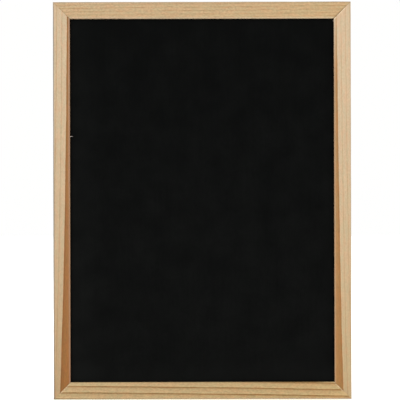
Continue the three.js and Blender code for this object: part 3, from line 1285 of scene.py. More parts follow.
@dataclass(frozen=True)
class ChalkCoating(Finish):
    """Dead matt black enamel, rolled on, with painted light: a painted reflection of the floor that
    lightens it towards the bottom, and painted light bounced off the frame along the left and the
    lower edge. unlit is what is left of the light right beside the frame, rim is where its shade starts
    and ends, and painted_bounce_band_left and wiped_below where the painted bounce light
    starts and is strongest, all in millimetres like the heights."""

    label: ClassVar[str] = "chalk_coating"
    # the enamel's colour at the top and at the bottom; the lighter bottom is a painted reflection of the
    # floor
    top: Rgb = (0.0017, 0.0019, 0.0018)
    bottom: Rgb = (0.003, 0.0032, 0.003)
    unlit: float = 0.25
    rim: Band = (0.2, 1.7)
    # painted light bounced off the frame onto the enamel along the left and the lower edge: its bands
    # and strengths
    painted_bounce_band_left: Band = (36, 2)
    wiped_below: Band = (26, 2)
    painted_bounce_left: float = 0.45
    painted_bounce_below: float = 0.25
    stipple_height: float = 0.03
    speck_height: float = 0.02
    stroke_height: float = 0.01
    clouds: Pattern = Pattern((26, 26, 26), 3.0, 3.0)
    specks: Pattern = Pattern((1.9, 1.9, 1.9), 5.0, 3.0, 0.6)
    stipple: Pattern = Pattern((0.5, 0.5, 0.5), 7.0)
    strokes: Pattern = Pattern((0.9, 0.9, 60), 9.0)

    def draw(self, pen: NodePen, place: Wire) -> dict[str, object]:
        """Draws the enamel.

        Args:
            pen: adds the nodes.
            place: where on the object, in millimetres.

        Returns:
            A value or a wire for each input of the surface shader.
        """
        x, _, z = pen.split(place)
        up = z + BOARD.hang_height / MM
        half_width = (BOARD.width / 2 - BOARD.rail_width) / MM
        half_height = (BOARD.height / 2 - BOARD.rail_width) / MM
        rim = (half_width - abs(x)).least(half_height - abs(up))
        clouds = pen.noise(place, self.clouds)
        specks = pen.noise(place, self.specks)
        stipple = pen.noise(place, self.stipple)
        strokes = pen.noise(place, self.strokes)
        # painted reflection of the floor: the enamel is lighter towards the bottom
        fall = (0.5 - up / (2 * half_height)) + (clouds - 0.5) * 1.3
        tone = pen.mix(self.top, self.bottom, fall)
        spread = 1 + (specks - 0.5) * 0.9 + (clouds - 0.5) * 0.5 + (strokes - 0.5) * 0.35
        # painted light bounced off the frame: the enamel is lighter along the left and the lower edge
        spread = spread + (x + half_width).ease(*self.painted_bounce_band_left) * self.painted_bounce_left
        spread = spread + (up + half_height).ease(*self.wiped_below) * self.painted_bounce_below
        shade = self.unlit + (1 - self.unlit) * rim.ease(*self.rim)
        tone = pen.vector_math("SCALE", tone, spread * shade)
        height = stipple * self.stipple_height + specks * self.speck_height
        height = height + strokes * self.stroke_height
        return {
            "Base Color": tone,
            "Roughness": 0.9 + (specks - 0.5) * 0.12,
            "Specular IOR Level": 0.04,
            "Normal": pen.bump(height),
        }


@dataclass(frozen=True)
class Hardboard(Finish):
    """Pressed wood fibre with the print of the press's wire screen on its back. pitch is that of the
    screen's wires and stretch how far the fibres are swirled, in millimetres like the depth and
    height. waviness is how much the wires waver. The bands are levels of the patterns."""

    label: ClassVar[str] = "hardboard"
    fibre_light: Rgb = (138, 100, 66)
    fibre_dark: Rgb = (84, 56, 34)
    pit: Rgb = (58, 37, 22)
    shive: Rgb = (158, 124, 88)
    pitch: float = 1.3
    stretch: float = 3.4
    waviness: float = 0.9
    print_depth: float = 0.12
    fibre_height: float = 0.05
    worn: Band = (0.3, 0.62)
    lighter: Band = (0.3, 0.7)
    on_shive: Band = (0.16, 0.05)
    swirl: Pattern = Pattern((3.2, 3.2, 3.2), 2.0, 3.0)
    turn: Pattern = Pattern((4.1, 4.1, 4.1), 4.0, 3.0)
    wear: Pattern = Pattern((17, 17, 17), 6.0)
    straws: Pattern = Pattern((0.42, 0.6, 2.3), 8.0, 3.0, 0.62)
    chips: Pattern = Pattern((1.9, 0.6, 0.46), 10.0, 3.0, 0.62)
    clouds: Pattern = Pattern((45, 45, 45), 12.0, 3.0)
    shives: Pattern = Pattern((0.9, 1.0, 3.4), 14.0)

    def draw(self, pen: NodePen, place: Wire) -> dict[str, object]:
        """Draws the board.

        Args:
            pen: adds the nodes.
            place: where on the object, in millimetres.

        Returns:
            A value or a wire for each input of the surface shader.
        """
        swirl = pen.noise(place, self.swirl) - 0.5
        turn = pen.noise(place, self.turn) - 0.5
        shift = pen.join(swirl * self.stretch, 0.0, turn * self.stretch)
        warped = pen.vector_math("ADD", place, shift)
        x, _, z = pen.split(place)
        bend = math.pi / self.pitch
        warp = abs(pen.math("SINE", x * bend + turn * self.waviness))
        weft = abs(pen.math("SINE", z * bend + swirl * self.waviness))
        wear = pen.noise(place, self.wear).ease(*self.worn)
        pits = (warp * weft) ** 0.8 * (0.45 + wear * 0.55)
        straws = pen.noise(warped, self.straws)
        chips = pen.noise(warped, self.chips)
        shives = pen.cells(warped, self.shives).ease(*self.on_shive)
        share = (straws * 0.5 + chips * 0.5).ease(*self.lighter)
        tone = pen.mix(linear(*self.fibre_dark), linear(*self.fibre_light), share)
        tone = pen.mix(tone, linear(*self.pit), pits * 0.5)
        tone = pen.mix(tone, linear(*self.shive), shives * 0.55)
        clouds = pen.noise(place, self.clouds)
        tone = pen.vector_math("SCALE", tone, 0.86 + clouds * 0.28)
        height = pits * -self.print_depth + straws * self.fibre_height + chips * self.fibre_height
        return {
            "Base Color": tone,
            "Roughness": 0.8 + (straws - 0.5) * 0.25,
            "Specular IOR Level": 0.3,
            "Normal": pen.bump(height),
        }


@dataclass(frozen=True)
class ZincPlate(Finish):
    """Bright zinc on stamped steel: a faint crystal bloom, drawing lines and handling marks. The
    bands are levels of the patterns."""

    label: ClassVar[str] = "bright_zinc"
    bright: Rgb = (0.45, 0.46, 0.48)
    dull: Rgb = (0.32, 0.335, 0.36)
    straw: Rgb = (0.43, 0.41, 0.35)
    line_height: float = 0.01
    bloom_height: float = 0.004
    scuff_depth: float = 0.006
    brighter: Band = (0.25, 0.7)
    stained: Band = (0.52, 0.72)
    on_scuff: Band = (0.22, 0.06)
    bloom: Pattern = Pattern((1.3, 1.3, 1.3), 3.0, 3.0, 0.6)
    stain: Pattern = Pattern((9, 9, 9), 6.0)
    lines: Pattern = Pattern((14, 0.12, 0.12), 9.0)
    scuffs: Pattern = Pattern((1.6, 1.6, 0.35), 12.0)

    def draw(self, pen: NodePen, place: Wire) -> dict[str, object]:
        """Draws the plating.

        Args:
            pen: adds the nodes.
            place: where on the object, in millimetres.

        Returns:
            A value or a wire for each input of the surface shader.
        """
        bloom = pen.noise(place, self.bloom)
        stain = pen.noise(place, self.stain)
        lines = pen.noise(place, self.lines)
        scuffs = pen.cells(place, self.scuffs).ease(*self.on_scuff)
        tone = pen.mix(self.dull, self.bright, bloom.ease(*self.brighter) * 0.6 + stain * 0.4)
        tone = pen.mix(tone, self.straw, stain.ease(*self.stained) * 0.35)
        tone = pen.mix(tone, self.bright, scuffs * 0.5)
        rough = 0.36 + (1 - bloom) * 0.12 + (lines - 0.5) * 0.12
        height = lines * self.line_height + bloom * self.bloom_height - scuffs * self.scuff_depth
        return {
            "Base Color": tone,
            "Metallic": 1.0,
            "Roughness": rough,
            "Normal": pen.bump(height),
        }


@dataclass(frozen=True)
class PlainSteel(Finish):
    """Unplated spring steel: rolled, a little oily, with the first freckles of rust. The bands are
    levels of the noises."""

    label: ClassVar[str] = "plain_steel"
    clean: Rgb = (0.42, 0.42, 0.43)
    oiled: Rgb = (0.24, 0.235, 0.24)
    rust: Rgb = (0.2, 0.075, 0.03)
    line_height: float = 0.008
    rust_height: float = 0.02
    oily: Band = (0.36, 0.64)
    rusty: Band = (0.5, 0.66)
    freckled: Band = (0.56, 0.66)
    film: Pattern = Pattern((4, 4, 4), 2.0, 3.0)
    lines: Pattern = Pattern((0.16, 0.16, 9), 5.0)
    freckles: Pattern = Pattern((0.6, 0.6, 0.6), 8.0, 3.0, 0.65)
    rusty_parts: Pattern = Pattern((5, 5, 5), 11.0)

    def draw(self, pen: NodePen, place: Wire) -> dict[str, object]:
        """Draws the steel.

        Args:
            pen: adds the nodes.
            place: where on the object, in millimetres.

        Returns:
            A value or a wire for each input of the surface shader.
        """
        film = pen.noise(place, self.film)
        lines = pen.noise(place, self.lines)
        freckles = pen.noise(place, self.freckles)
        where = pen.noise(place, self.rusty_parts).ease(*self.rusty)
        rust = freckles.ease(*self.freckled) * where
        tone = pen.mix(self.clean, self.oiled, film.ease(*self.oily))
        tone = pen.mix(tone, self.rust, rust * 0.8)
        return {
            "Base Color": tone,
            "Metallic": 1 - rust * 0.9,
            "Roughness": 0.4 + film * 0.16 + rust * 0.3,
            "Normal": pen.bump(lines * self.line_height + rust * self.rust_height),
        }


@dataclass(frozen=True)
class StudioFloor(Finish):
    """Pale matt floor of the studio."""

    label: ClassVar[str] = "studio_floor"
    pale: Rgb = (0.86, 0.86, 0.855)
    paler: Rgb = (0.9, 0.9, 0.9)
    light: Rgb = (1.0, 1.0, 1.0)
    glow: float = 0.3
    clouds: Pattern = Pattern((420, 420, 420), 1.0, 3.0)

    def draw(self, pen: NodePen, place: Wire) -> dict[str, object]:
        """Draws the floor.

        Args:
            pen: adds the nodes.
            place: where on the object, in millimetres.

        Returns:
            A value or a wire for each input of the surface shader.
        """
        clouds = pen.noise(place, self.clouds)
        return {
            "Base Color": pen.mix(self.pale, self.paler, clouds),
            "Roughness": 0.85,
            "Specular IOR Level": 0.2,
            "Emission Color": self.light,
            "Emission Strength": self.glow,
        }


# Sub-assemblies


@dataclass
class FrameMouldings:
    """Four lengths of rebated pine moulding, mitred and slotted for the steel driven into them.
    glue_line is how far the two faces of a mitre are apart, and slot_gap what a slot is wider by all
    round. open_mitres is how far each mitre gapes at its inner end, outer_gape the share of it at
    the outer corner, and gap_depth how far in from the face it gapes. stations and facets are the
    points along a stile and round an arris, and the stops are further points on the section's flats.
    sanding and knocks are the most that they take off an arris, where the noises wear and knocking
    are in the bands worn and knocked. What lies beyond nail_back in Y is the back end of a V-nail,
    and its slot is carried out to slot_back. front_light is how much light falls on the face,
    against full white."""

    face_arris: float = 1.0 * MM
    sight_arris: float = 1.0 * MM
    back_arris: float = 0.6 * MM
    glue_line: float = 0.02 * MM
    gap_depth: float = 7 * MM
    sanding: float = 0.11 * MM
    knocks: float = 0.3 * MM
    stations: int = 134
    facets: int = 6
    slot_gap: float = 0.06 * MM
    nail_back: float = -1 * MM
    slot_back: float = 2 * MM
    outer_gape: float = 0.3
    wear: Pattern = Pattern((19, 60, 60), 1.0)
    knocking: Pattern = Pattern((3.4, 9, 9), 2.0, 1.0)
    wear_stride: float = 37.0
    worn: Band = (0.3, 0.7)
    knocked: Band = (0.69, 0.8)
    on_arris: Band = (0.0, 0.4 * MM)
    wall_stops: tuple[float, ...] = (0.3, 0.55, 0.8)
    face_stops: tuple[float, ...] = (0.25, 0.5, 0.75)
    lip_stop: float = 0.6
    front_light: float = 1.49
    crease: float = 24.0
    open_mitres: dict[str, float] = field(
        default_factory=lambda: {
            "top_left": 0.03 * MM,
            "top_right": 0.15 * MM,
            "bottom_right": 0.05 * MM,
            "bottom_left": 0.05 * MM,
        }
    )

    def timbers(self) -> dict[Side, Timber]:
        """Colour and grain of each length, as the photograph shows them.

        Returns:
            The timber of each side.
        """
        # the painted sheen on the sight arris and the painted shade on the outer arris differ from side
        # to side with how the light falls on each
        return {
            Side.TOP: Timber(
                pale_start=(203, 173, 133),
                pale_end=(206, 174, 128),
                drift=(0.94, 0.93, 0.92),
                ring=(0.76, 0.68, 0.56),
                painted_sheen=1.8,
                ring_spacing=3.4,
                ring_start=0.5,
                ring_edge=(0.9, 2.3, 0.0),
                grows_outwards=True,
                seed=1.0,
                wander=2.0,
                mottle=3.8,
                patchy=0.8,
                near_mitre=MitreEdge(dirt=0.22),
                far_mitre=MitreEdge(dirt=0.7),
            ),
            Side.RIGHT: Timber(
                pale_start=(218, 191, 157),
                pale_end=(205, 175, 131),
                drift=(0.96, 0.95, 0.94),
                ring=(0.8, 0.73, 0.62),
                painted_sheen=1.2,
                ring_spacing=4.5,
                ring_start=0.68,
                ring_edge=(2.95, 2.0, 4.0),
                grows_outwards=True,
                seed=21.0,
                wander=0.8,
                outer_shade_strength=0.12,
                heart=HeartStreak((192, 149, 100), (172, 123, 67), (163, 110, 54), comes_in=0.2),
                near_mitre=MitreEdge(pale=0.7),
            ),
            Side.BOTTOM: Timber(
                pale_start=(211, 181, 134),
                pale_end=(213, 180, 127),
                drift=(0.83, 0.79, 0.74),
                ring=(0.42, 0.28, 0.1),
                painted_sheen=0.1,
                ring_spacing=6.4,
                ring_start=0.6,
                ring_edge=(3.15, 2.9, 1.35),
                grows_outwards=False,
                seed=41.0,
                wander=0.9,
                mottle=3.2,
                patchy=0.2,
                outer_shade_strength=0.15,
                near_mitre=MitreEdge(pale=0.4),
                far_mitre=MitreEdge(pale=0.5),
            ),
            Side.LEFT: Timber(
                pale_start=(213, 187, 153),
                pale_end=(198, 166, 124),
                drift=(0.97, 0.96, 0.95),
                ring=(0.78, 0.71, 0.6),
                painted_sheen=1.55,
                ring_spacing=5.5,
                ring_start=0.7,
                ring_edge=(2.85, 1.27, 6.5),
                grows_outwards=True,
                seed=61.0,
                wander=0.8,
                outer_shade_strength=0.85,
                heart=HeartStreak((174, 125, 79), (156, 102, 47), (142, 90, 35)),
                near_mitre=MitreEdge(dull=0.5),
            ),
        }

    def section(self) -> bpy.types.Mesh:
        """Draws the moulding's outline.

        Returns:
            The outline, with X as the distance in from the back and Y across from the outer edge.
        """
        width, depth, land = BOARD.rail_width, BOARD.rail_depth, BOARD.land_width
        lip = depth - BOARD.lip_thickness
        corners = [
            (0.0, 0.0, self.back_arris),
            *((depth * share, 0.0, 0.0) for share in self.wall_stops),
            (depth, 0.0, self.face_arris),
            *((depth, width * share, 0.0) for share in self.face_stops),
            (depth, width, self.sight_arris),
            (depth - self.lip_stop * BOARD.lip_thickness, width, 0.0),
            (lip, width, 0.0),
            (lip, land, 0.0),
            (lip / 2, land, 0.0),
            (0.0, land, self.back_arris),
            (0.0, land / 2, 0.0),
        ]
        return Workshop.outline_mesh("moulding_section", corners, closed=True)

    def sweep_tree(self) -> ShapeTree:
        """Plans how a length is made: swept, sanded on its arrises and cut to its mitres.

        Returns:
            The tree, which takes the section.
        """
        sizes = ("Length", "Sanding", "Knocks", "Glue Line", "Near Gap", "Far Gap", "Gap Depth", "Seed")
        kinds = {"Stations": "Int", "Facets": "Int", **dict.fromkeys(sizes, "Float")}
        shape = ShapeTree("mitred_moulding", kinds)
        half = shape.given("Length") * 0.5
        line = shape.line(shape.pen.join(half * -1, 0.0, 0.0), shape.pen.join(half, 0.0, 0.0))
        path = shape.resampled(line, shape.given("Stations"))
        swept = shape.swept(path, shape.outline(shape.given("Facets")))
        shape.close(self._mitred(shape, self._sanded(shape, swept), half))
        return shape

    def _sanded(self, shape: ShapeTree, swept: Wire) -> Wire:
        """Takes an uneven sliver off the rounded arrises, and a few small knocks out of them.

        Args:
            shape: the tree.
            swept: the moulding, still as sharp as its section.

        Returns:
            The sanded moulding.
        """
        pen = shape.pen
        place = pen.vector_math("SCALE", shape.step("GeometryNodeInputPosition"), 1 / MM)
        moved = pen.vector_math("ADD", place, pen.join(shape.given("Seed") * self.wear_stride, 0.0, 0.0))
        uneven = pen.noise(moved, self.wear).ease(*self.worn)
        knock = pen.noise(moved, self.knocking).ease(*self.knocked)
        take = uneven * shape.given("Sanding") + knock * shape.given("Knocks")
        inwards = take * shape.arris().ease(*self.on_arris) * -1
        normal = shape.step("GeometryNodeInputNormal")
        return shape.moved(swept, Offset=pen.vector_math("SCALE", normal, inwards))

    def _mitred(self, shape: ShapeTree, sanded: Wire, half: Wire) -> Wire:
        """Draws the stations in to the two mitres, which gape a little at the face.

        Args:
            shape: the tree.
            sanded: the moulding, with square ends.
            half: half its length.

        Returns:
            The mitred moulding.
        """
        pen, given = shape.pen, shape.given
        x, y, z = shape.position()
        across = z * -1
        depth = y + BOARD.rail_depth
        far = pen.math("GREATER_THAN", x, 0.0)
        gap = given("Near Gap") + far * (given("Far Gap") - given("Near Gap"))
        inner = self.outer_gape + across * ((1 - self.outer_gape) / BOARD.rail_width)
        gape = gap * inner * (1 - depth / given("Gap Depth")).most(0.0)
        setback = across + (given("Glue Line") + gape) * math.sqrt(0.5)
        reach = x / half * (half - setback)
        return shape.moved(sanded, Position=pen.join(reach, y, z))

    def slots(self, points: bpy.types.Mesh) -> bpy.types.Mesh:
        """What the driven steel takes out of the wood.

        Args:
            points: all the retaining points as one closed mesh.

        Returns:
            The slots of the V-nails, points and hanger nails as one mesh.
        """
        nails = Workshop.merged_copy(Workshop.solids("v_nail"), "v_nail_slots")
        for point in nails.vertices:
            if point.co.y > self.nail_back:
                point.co.y = self.slot_back
        shanks = Workshop.merged_copy(Workshop.solids("hanger_nail"), "nail_holes")
        whole = bpy.data.meshes.new("driven_slots")
        with Workshop.reshaping(whole) as parts:
            for mesh in (nails, shanks, points):
                Workshop.swell(mesh, self.slot_gap)
                parts.from_mesh(mesh)
        return whole

    def build(self, points: bpy.types.Mesh) -> None:
        """Builds and dresses the four lengths.

        Args:
            points: all the retaining points as one closed mesh, which is used up.
        """
        shape = self.sweep_tree()
        slots = self.slots(points)
        section = self.section()
        gaps = self.open_mitres
        ends = {
            Side.TOP: ("top_left", "top_right"),
            Side.RIGHT: ("top_right", "bottom_right"),
            Side.BOTTOM: ("bottom_right", "bottom_left"),
            Side.LEFT: ("bottom_left", "top_left"),
        }
        for side, timber in self.timbers().items():
            pine = PineFinish(side, timber, self.front_light).material()
            near, far = ends[side]
            length = side.length
            mesh = shape.grow(
                section.copy(),
                {
                    "Length": length,
                    "Stations": round(self.stations * length / BOARD.height),
                    "Facets": self.facets,
                    "Sanding": self.sanding,
                    "Knocks": self.knocks,
                    "Glue Line": self.glue_line,
                    "Near Gap": gaps[near],
                    "Far Gap": gaps[far],
                    "Gap Depth": self.gap_depth,
                    "Seed": timber.seed,
                },
                pine,
            )
            mesh.transform(side.placement)
            mesh = Workshop.carve(mesh, slots.copy())
            Workshop.shade(mesh, self.crease)
            Workshop.dress(mesh, pine)
            name = f"{side.label}_{side.kind}"
            Workshop.place_piece(f"pine_{name}", mesh, "pine", [f"frame_{name}"])


@dataclass
class RetainingPoints:
    """Flat steel points in the rebate, hand-driven, so no two lie quite alike. Each is buried in the
    wood and reaches over the panel's back by so much from the rebate's wall, tip is the length of
    its point, front is where its front face is in Y, and sway is the most that one is turned by."""

    sheet: float = 0.5 * MM
    width: float = 6 * MM
    buried: float = 6.5 * MM
    reach: float = 9 * MM
    tip: float = 3 * MM
    tab_corner: float = 1.5 * MM
    front: float = -6.2 * MM
    edge: float = 0.07 * MM
    sway: float = math.radians(2.6)
    facets: int = 6
    crease: float = 30.0
    per_rail: int = 2
    per_stile: int = 3

    def blank(self) -> bpy.types.Mesh:
        """Draws one point's outline.

        Returns:
            The outline, with X across the point and Y towards its tab.
        """
        half = self.width / 2
        corners = [
            (-half, self.reach, self.tab_corner),
            (half, self.reach, self.tab_corner),
            (half, self.tip - self.buried, 0.0),
            (0.0, -self.buried, 0.0),
            (-half, self.tip - self.buried, 0.0),
        ]
        return Workshop.outline_mesh("point_outline", corners, closed=True)

    def row_tree(self) -> ShapeTree:
        """Plans how a point is stamped and a row of them is set along a side.

        Returns:
            The tree, which takes a point's outline.
        """
        kinds = {"Sheet": "Float", "Spacing": "Float", "Sway": "Float", "Count": "Int", "Seed": "Int"}
        shape = ShapeTree("point_row", kinds)
        pen, given = shape.pen, shape.given
        thickness = shape.line((0.0, 0.0, 0.0), pen.join(0.0, given("Sheet"), 0.0))
        plate = shape.swept(thickness, shape.outline(self.facets))
        lean = pen.node(
            "FunctionNodeRandomValue",
            {"data_type": "FLOAT"},
            {"Min_001": given("Sway") * -1, "Max_001": given("Sway"), "Seed": given("Seed")},
        )
        turned = pen.join(0.0, pen.wire(lean, "Value_001"), 0.0)
        turned = shape.step("FunctionNodeEulerToRotation", sockets={"Euler": turned})
        row = shape.row(given("Count"), given("Spacing"))
        shape.close(shape.copies(row, plate, Rotation=turned))
        return shape

    def build(self, material: bpy.types.Material) -> bpy.types.Mesh:
        """Builds and dresses the rows of points.

        Args:
            material: plain steel.

        Returns:
            Copies of all the points as one closed mesh, to cut their slots with.
        """
        shape = self.row_tree()
        blank = self.blank()
        whole = bpy.data.meshes.new("all_points")
        with Workshop.reshaping(whole) as everything:
            for seed, side in enumerate(Side):
                count = self.per_stile if side.upright else self.per_rail
                values = {
                    "Sheet": self.sheet,
                    "Count": count,
                    "Spacing": (side.length - 2 * BOARD.land_width) / count,
                    "Sway": self.sway,
                    "Seed": seed,
                }
                mesh = shape.grow(blank.copy(), values, material)
                seat = Matrix.Translation((0, self.front, -BOARD.land_width))
                mesh.transform(side.placement @ seat)
                everything.from_mesh(mesh)
                mesh = Workshop.softened(mesh, self.edge)
                Workshop.shade(mesh, self.crease)
                names = [f"retaining_point_{side.label}_{index + 1}" for index in range(count)]
                Workshop.place_piece(f"points_{side.label}", mesh, "plain_steel", names)
        return whole


@dataclass
class SawtoothHangers:
    """Two stamped and bent hangers, each with a row of notches to hang it level by. tab is the length
    of a flat end, ramp that of the slope next to it, and rise how far the middle stands off the
    wood. The strip is bent overwide and trimmed by a die, a hair short of its length so that the
    cut is clean."""

    sheet: float = 0.7 * MM
    height: float = 9.5 * MM
    corner: float = 2 * MM
    tab: float = 8.5 * MM
    ramp: float = 2.2 * MM
    rise: float = 1.6 * MM
    bend: float = 0.9 * MM
    notches: int = 9
    pitch: float = 2.6 * MM
    notch_depth: float = 1.8 * MM
    tooth_flat: float = 0.4 * MM
    hole_radius: float = 0.85 * MM
    edge: float = 0.06 * MM
    facets: int = 6
    hole_facets: int = 24
    overwide: float = 1.5
    trim: float = 0.9999
    die_start: Xyz = (0.0, -4 * MM, 0.0)
    die_end: Xyz = (0.0, 8 * MM, 0.0)
    punch_length: float = 20 * MM
    crease: float = 28.0
    sides: tuple[Side, ...] = (Side.TOP, Side.LEFT)

    @property
    def raised(self) -> float:
        """Length of the raised middle."""
        return self.notches * self.pitch + self.tooth_flat

    @property
    def length(self) -> float:
        """Length from tab to tab."""
        return self.raised + 2 * (self.ramp + self.tab)

    def bend_line(self) -> bpy.types.Mesh:
        """Draws the middle of the bent sheet.

        Returns:
            The bend line, seen from the hanger's toothed edge.
        """
        foot, head, end = self.raised / 2 + self.ramp, self.raised / 2, self.length / 2
        low = self.sheet / 2
        high = low + self.rise
        corners = [
            (-end, low, 0.0),
            (-foot, low, self.bend),
            (-head, high, self.bend),
            (head, high, self.bend),
            (foot, low, self.bend),
            (end, low, 0.0),
        ]
        return Workshop.outline_mesh("hanger_bend_line", corners, closed=False)

    def stamp_tree(self) -> ShapeTree:
        """Plans how a strip is bent, trimmed and punched with its notches and nail holes.

        Returns:
            The tree, which takes the bend line.
        """
        sizes = ("Sheet", "Length", "Height", "Corner", "Pitch", "Notch Depth", "Mouth")
        sizes += ("Hole Radius", "Hole Spacing")
        shape = ShapeTree("sawtooth_hanger", {"Notches": "Int", **dict.fromkeys(sizes, "Float")})
        given, height, bore = shape.given, shape.given("Height"), shape.given("Hole Radius")
        section = shape.rectangle(given("Sheet"), height * self.overwide)
        strip = shape.swept(shape.outline(self.facets), section)
        face = shape.rectangle(given("Length") * self.trim, height)
        face = shape.rounded(face, given("Corner"), self.facets)
        die = shape.swept(shape.line(self.die_start, self.die_end), face)
        trimmed = shape.boolean("INTERSECT", {"Mesh 2": [strip, die]})
        notch = self._punch(shape, 4, given("Mouth"), given("Notch Depth"))
        notches = shape.copies(shape.row(given("Notches"), given("Pitch"), height * -0.5), notch)
        hole = self._punch(shape, self.hole_facets, bore, bore)
        holes = shape.copies(shape.row(2, given("Hole Spacing")), hole)
        cut = {"Mesh 1": trimmed, "Mesh 2": [notches, holes]}
        shape.close(shape.boolean("DIFFERENCE", cut))
        return shape

    def _punch(self, shape: ShapeTree, corners: int, half_width: Wire, half_height: Wire) -> Wire:
        """Makes a punch that lies along Y.

        Args:
            shape: the tree.
            corners: corners of its section, which start on its +X side.
            half_width: half its size in X.
            half_height: half its size in Z.

        Returns:
            The punch.
        """
        bar = shape.step(
            "GeometryNodeMeshCylinder",
            {"fill_type": "NGON"},
            {"Vertices": corners, "Radius": 1.0, "Depth": self.punch_length},
        )
        scale = shape.pen.join(half_width, half_height, 1.0)
        bar = shape.step("GeometryNodeTransform", sockets={"Geometry": bar, "Scale": scale})
        lying = (math.pi / 2, 0.0, 0.0)
        return shape.step("GeometryNodeTransform", sockets={"Geometry": bar, "Rotation": lying})

    def build(self, material: bpy.types.Material) -> None:
        """Builds and dresses the two hangers.

        Args:
            material: plated steel.
        """
        shape = self.stamp_tree()
        line = self.bend_line()
        for side in self.sides:
            values = {
                "Sheet": self.sheet,
                "Length": self.length,
                "Height": self.height,
                "Corner": self.corner,
                "Notches": self.notches,
                "Pitch": self.pitch,
                "Notch Depth": self.notch_depth,
                "Mouth": (self.pitch - self.tooth_flat) / 2,
                "Hole Radius": self.hole_radius,
                "Hole Spacing": self.length - self.tab,
            }
            mesh = shape.grow(line.copy(), values, material)
            mesh = Workshop.softened(mesh, self.edge)
            seat = Matrix.Translation((0, 0, -BOARD.land_width / 2))
            mesh.transform(side.placement @ seat)
            Workshop.shade(mesh, self.crease)
            name = f"hanger_{side.label}"
            Workshop.place_piece(f"sawtooth_{name}", mesh, "bright_zinc", [name])


@dataclass
class HangerNails:
    """Four brads that hold the hangers, with low domed heads. rim is the share of a head's height
    where it is widest, underside the share of its radius that lies on the hanger, and taper a ring
    on the point, as shares of the shank's radius and the point's length."""

    shank_radius: float = 0.65 * MM
    head_radius: float = 1.7 * MM
    head_height: float = 0.8 * MM
    length: float = 9 * MM
    point: float = 1.8 * MM
    steps: int = 28
    dome_steps: int = 6
    rim: float = 0.12
    underside: float = 0.96
    taper: tuple[float, float] = (0.5, 0.45)
    crease: float = 40.0

    def profile(self, base: float) -> list[tuple[float, float]]:
        """Radius and height of the brad from its point to the middle of its head.

        Args:
            base: height of the surface that the head lies on.

        Returns:
            The rings of the brad, in metres.
        """
        rings = [
            (0.0, -self.length),
            (self.shank_radius * self.taper[0], -self.length + self.point * self.taper[1]),
            (self.shank_radius, -self.length + self.point),
            (self.shank_radius, base),
            (self.head_radius * self.underside, base),
            (self.head_radius, base + self.head_height * self.rim),
        ]
        for step in range(1, self.dome_steps + 1):
            angle = math.pi / 2 * step / self.dome_steps
            radius = self.head_radius * math.cos(angle) if step < self.dome_steps else 0.0
            share = self.rim + (1 - self.rim) * math.sin(angle)
            rings.append((radius, base + self.head_height * share))
        return rings

    def brad(self, base: float) -> bpy.types.Mesh:
        """Turns one brad.

        Args:
            base: height of the surface that the head lies on.

        Returns:
            The brad, with its head towards +Y.
        """
        mesh = bpy.data.meshes.new("brad")
        with Workshop.reshaping(mesh) as turned:
            points = [turned.verts.new((radius, y, 0.0)) for radius, y in self.profile(base)]
            for pair in zip(points, points[1:]):
                # one edge at a time, since several together get their faces in no fixed order
                bmesh.ops.spin(
                    turned,
                    geom=[*pair, turned.edges.new(pair)],
                    axis=(0, 1, 0),
                    cent=(0, 0, 0),
                    angle=2 * math.pi,
                    steps=self.steps,
                )
            Workshop.close_up(turned)
        return mesh

    def build(self, hangers: SawtoothHangers, material: bpy.types.Material) -> None:
        """Builds and dresses the brads of the hangers.

        Args:
            hangers: the hangers that they hold.
            material: plated steel.
        """
        for side in hangers.sides:
            for index, end in enumerate((-1, 1)):
                mesh = self.brad(hangers.sheet)
                reach = end * (hangers.length - hangers.tab) / 2
                seat = Matrix.Translation((reach, 0, -BOARD.land_width / 2))
                mesh.transform(side.placement @ seat)
                Workshop.shade(mesh, self.crease)
                Workshop.dress(mesh, material)
                name = f"hanger_nail_{side.label}_{index + 1}"
                Workshop.place_piece(f"brad_{side.label}_{index + 1}", mesh, "bright_zinc", [name])


@dataclass(frozen=True)
class Strand:
    """One torn fibre, in millimetres. hand is -1 on the left stile and 1 on the right one. Its root
    and tip are each given by how far they lie outside the sight edge, their Y and their height
    above the board's middle, and bend is how far its middle stands off a straight line."""

    name: str
    hand: int
    root: Xyz
    tip: Xyz
    bend: float

    def end(self, place: Xyz) -> Xyz:
        """Finds its root or tip on the board.

        Args:
            place: the root or the tip, as given.

        Returns:
            Where it is, in metres.
        """
        out, y, up = place
        edge = BOARD.width / 2 - BOARD.rail_width
        return self.hand * (edge + out * MM), y * MM, up * MM - BOARD.hang_height


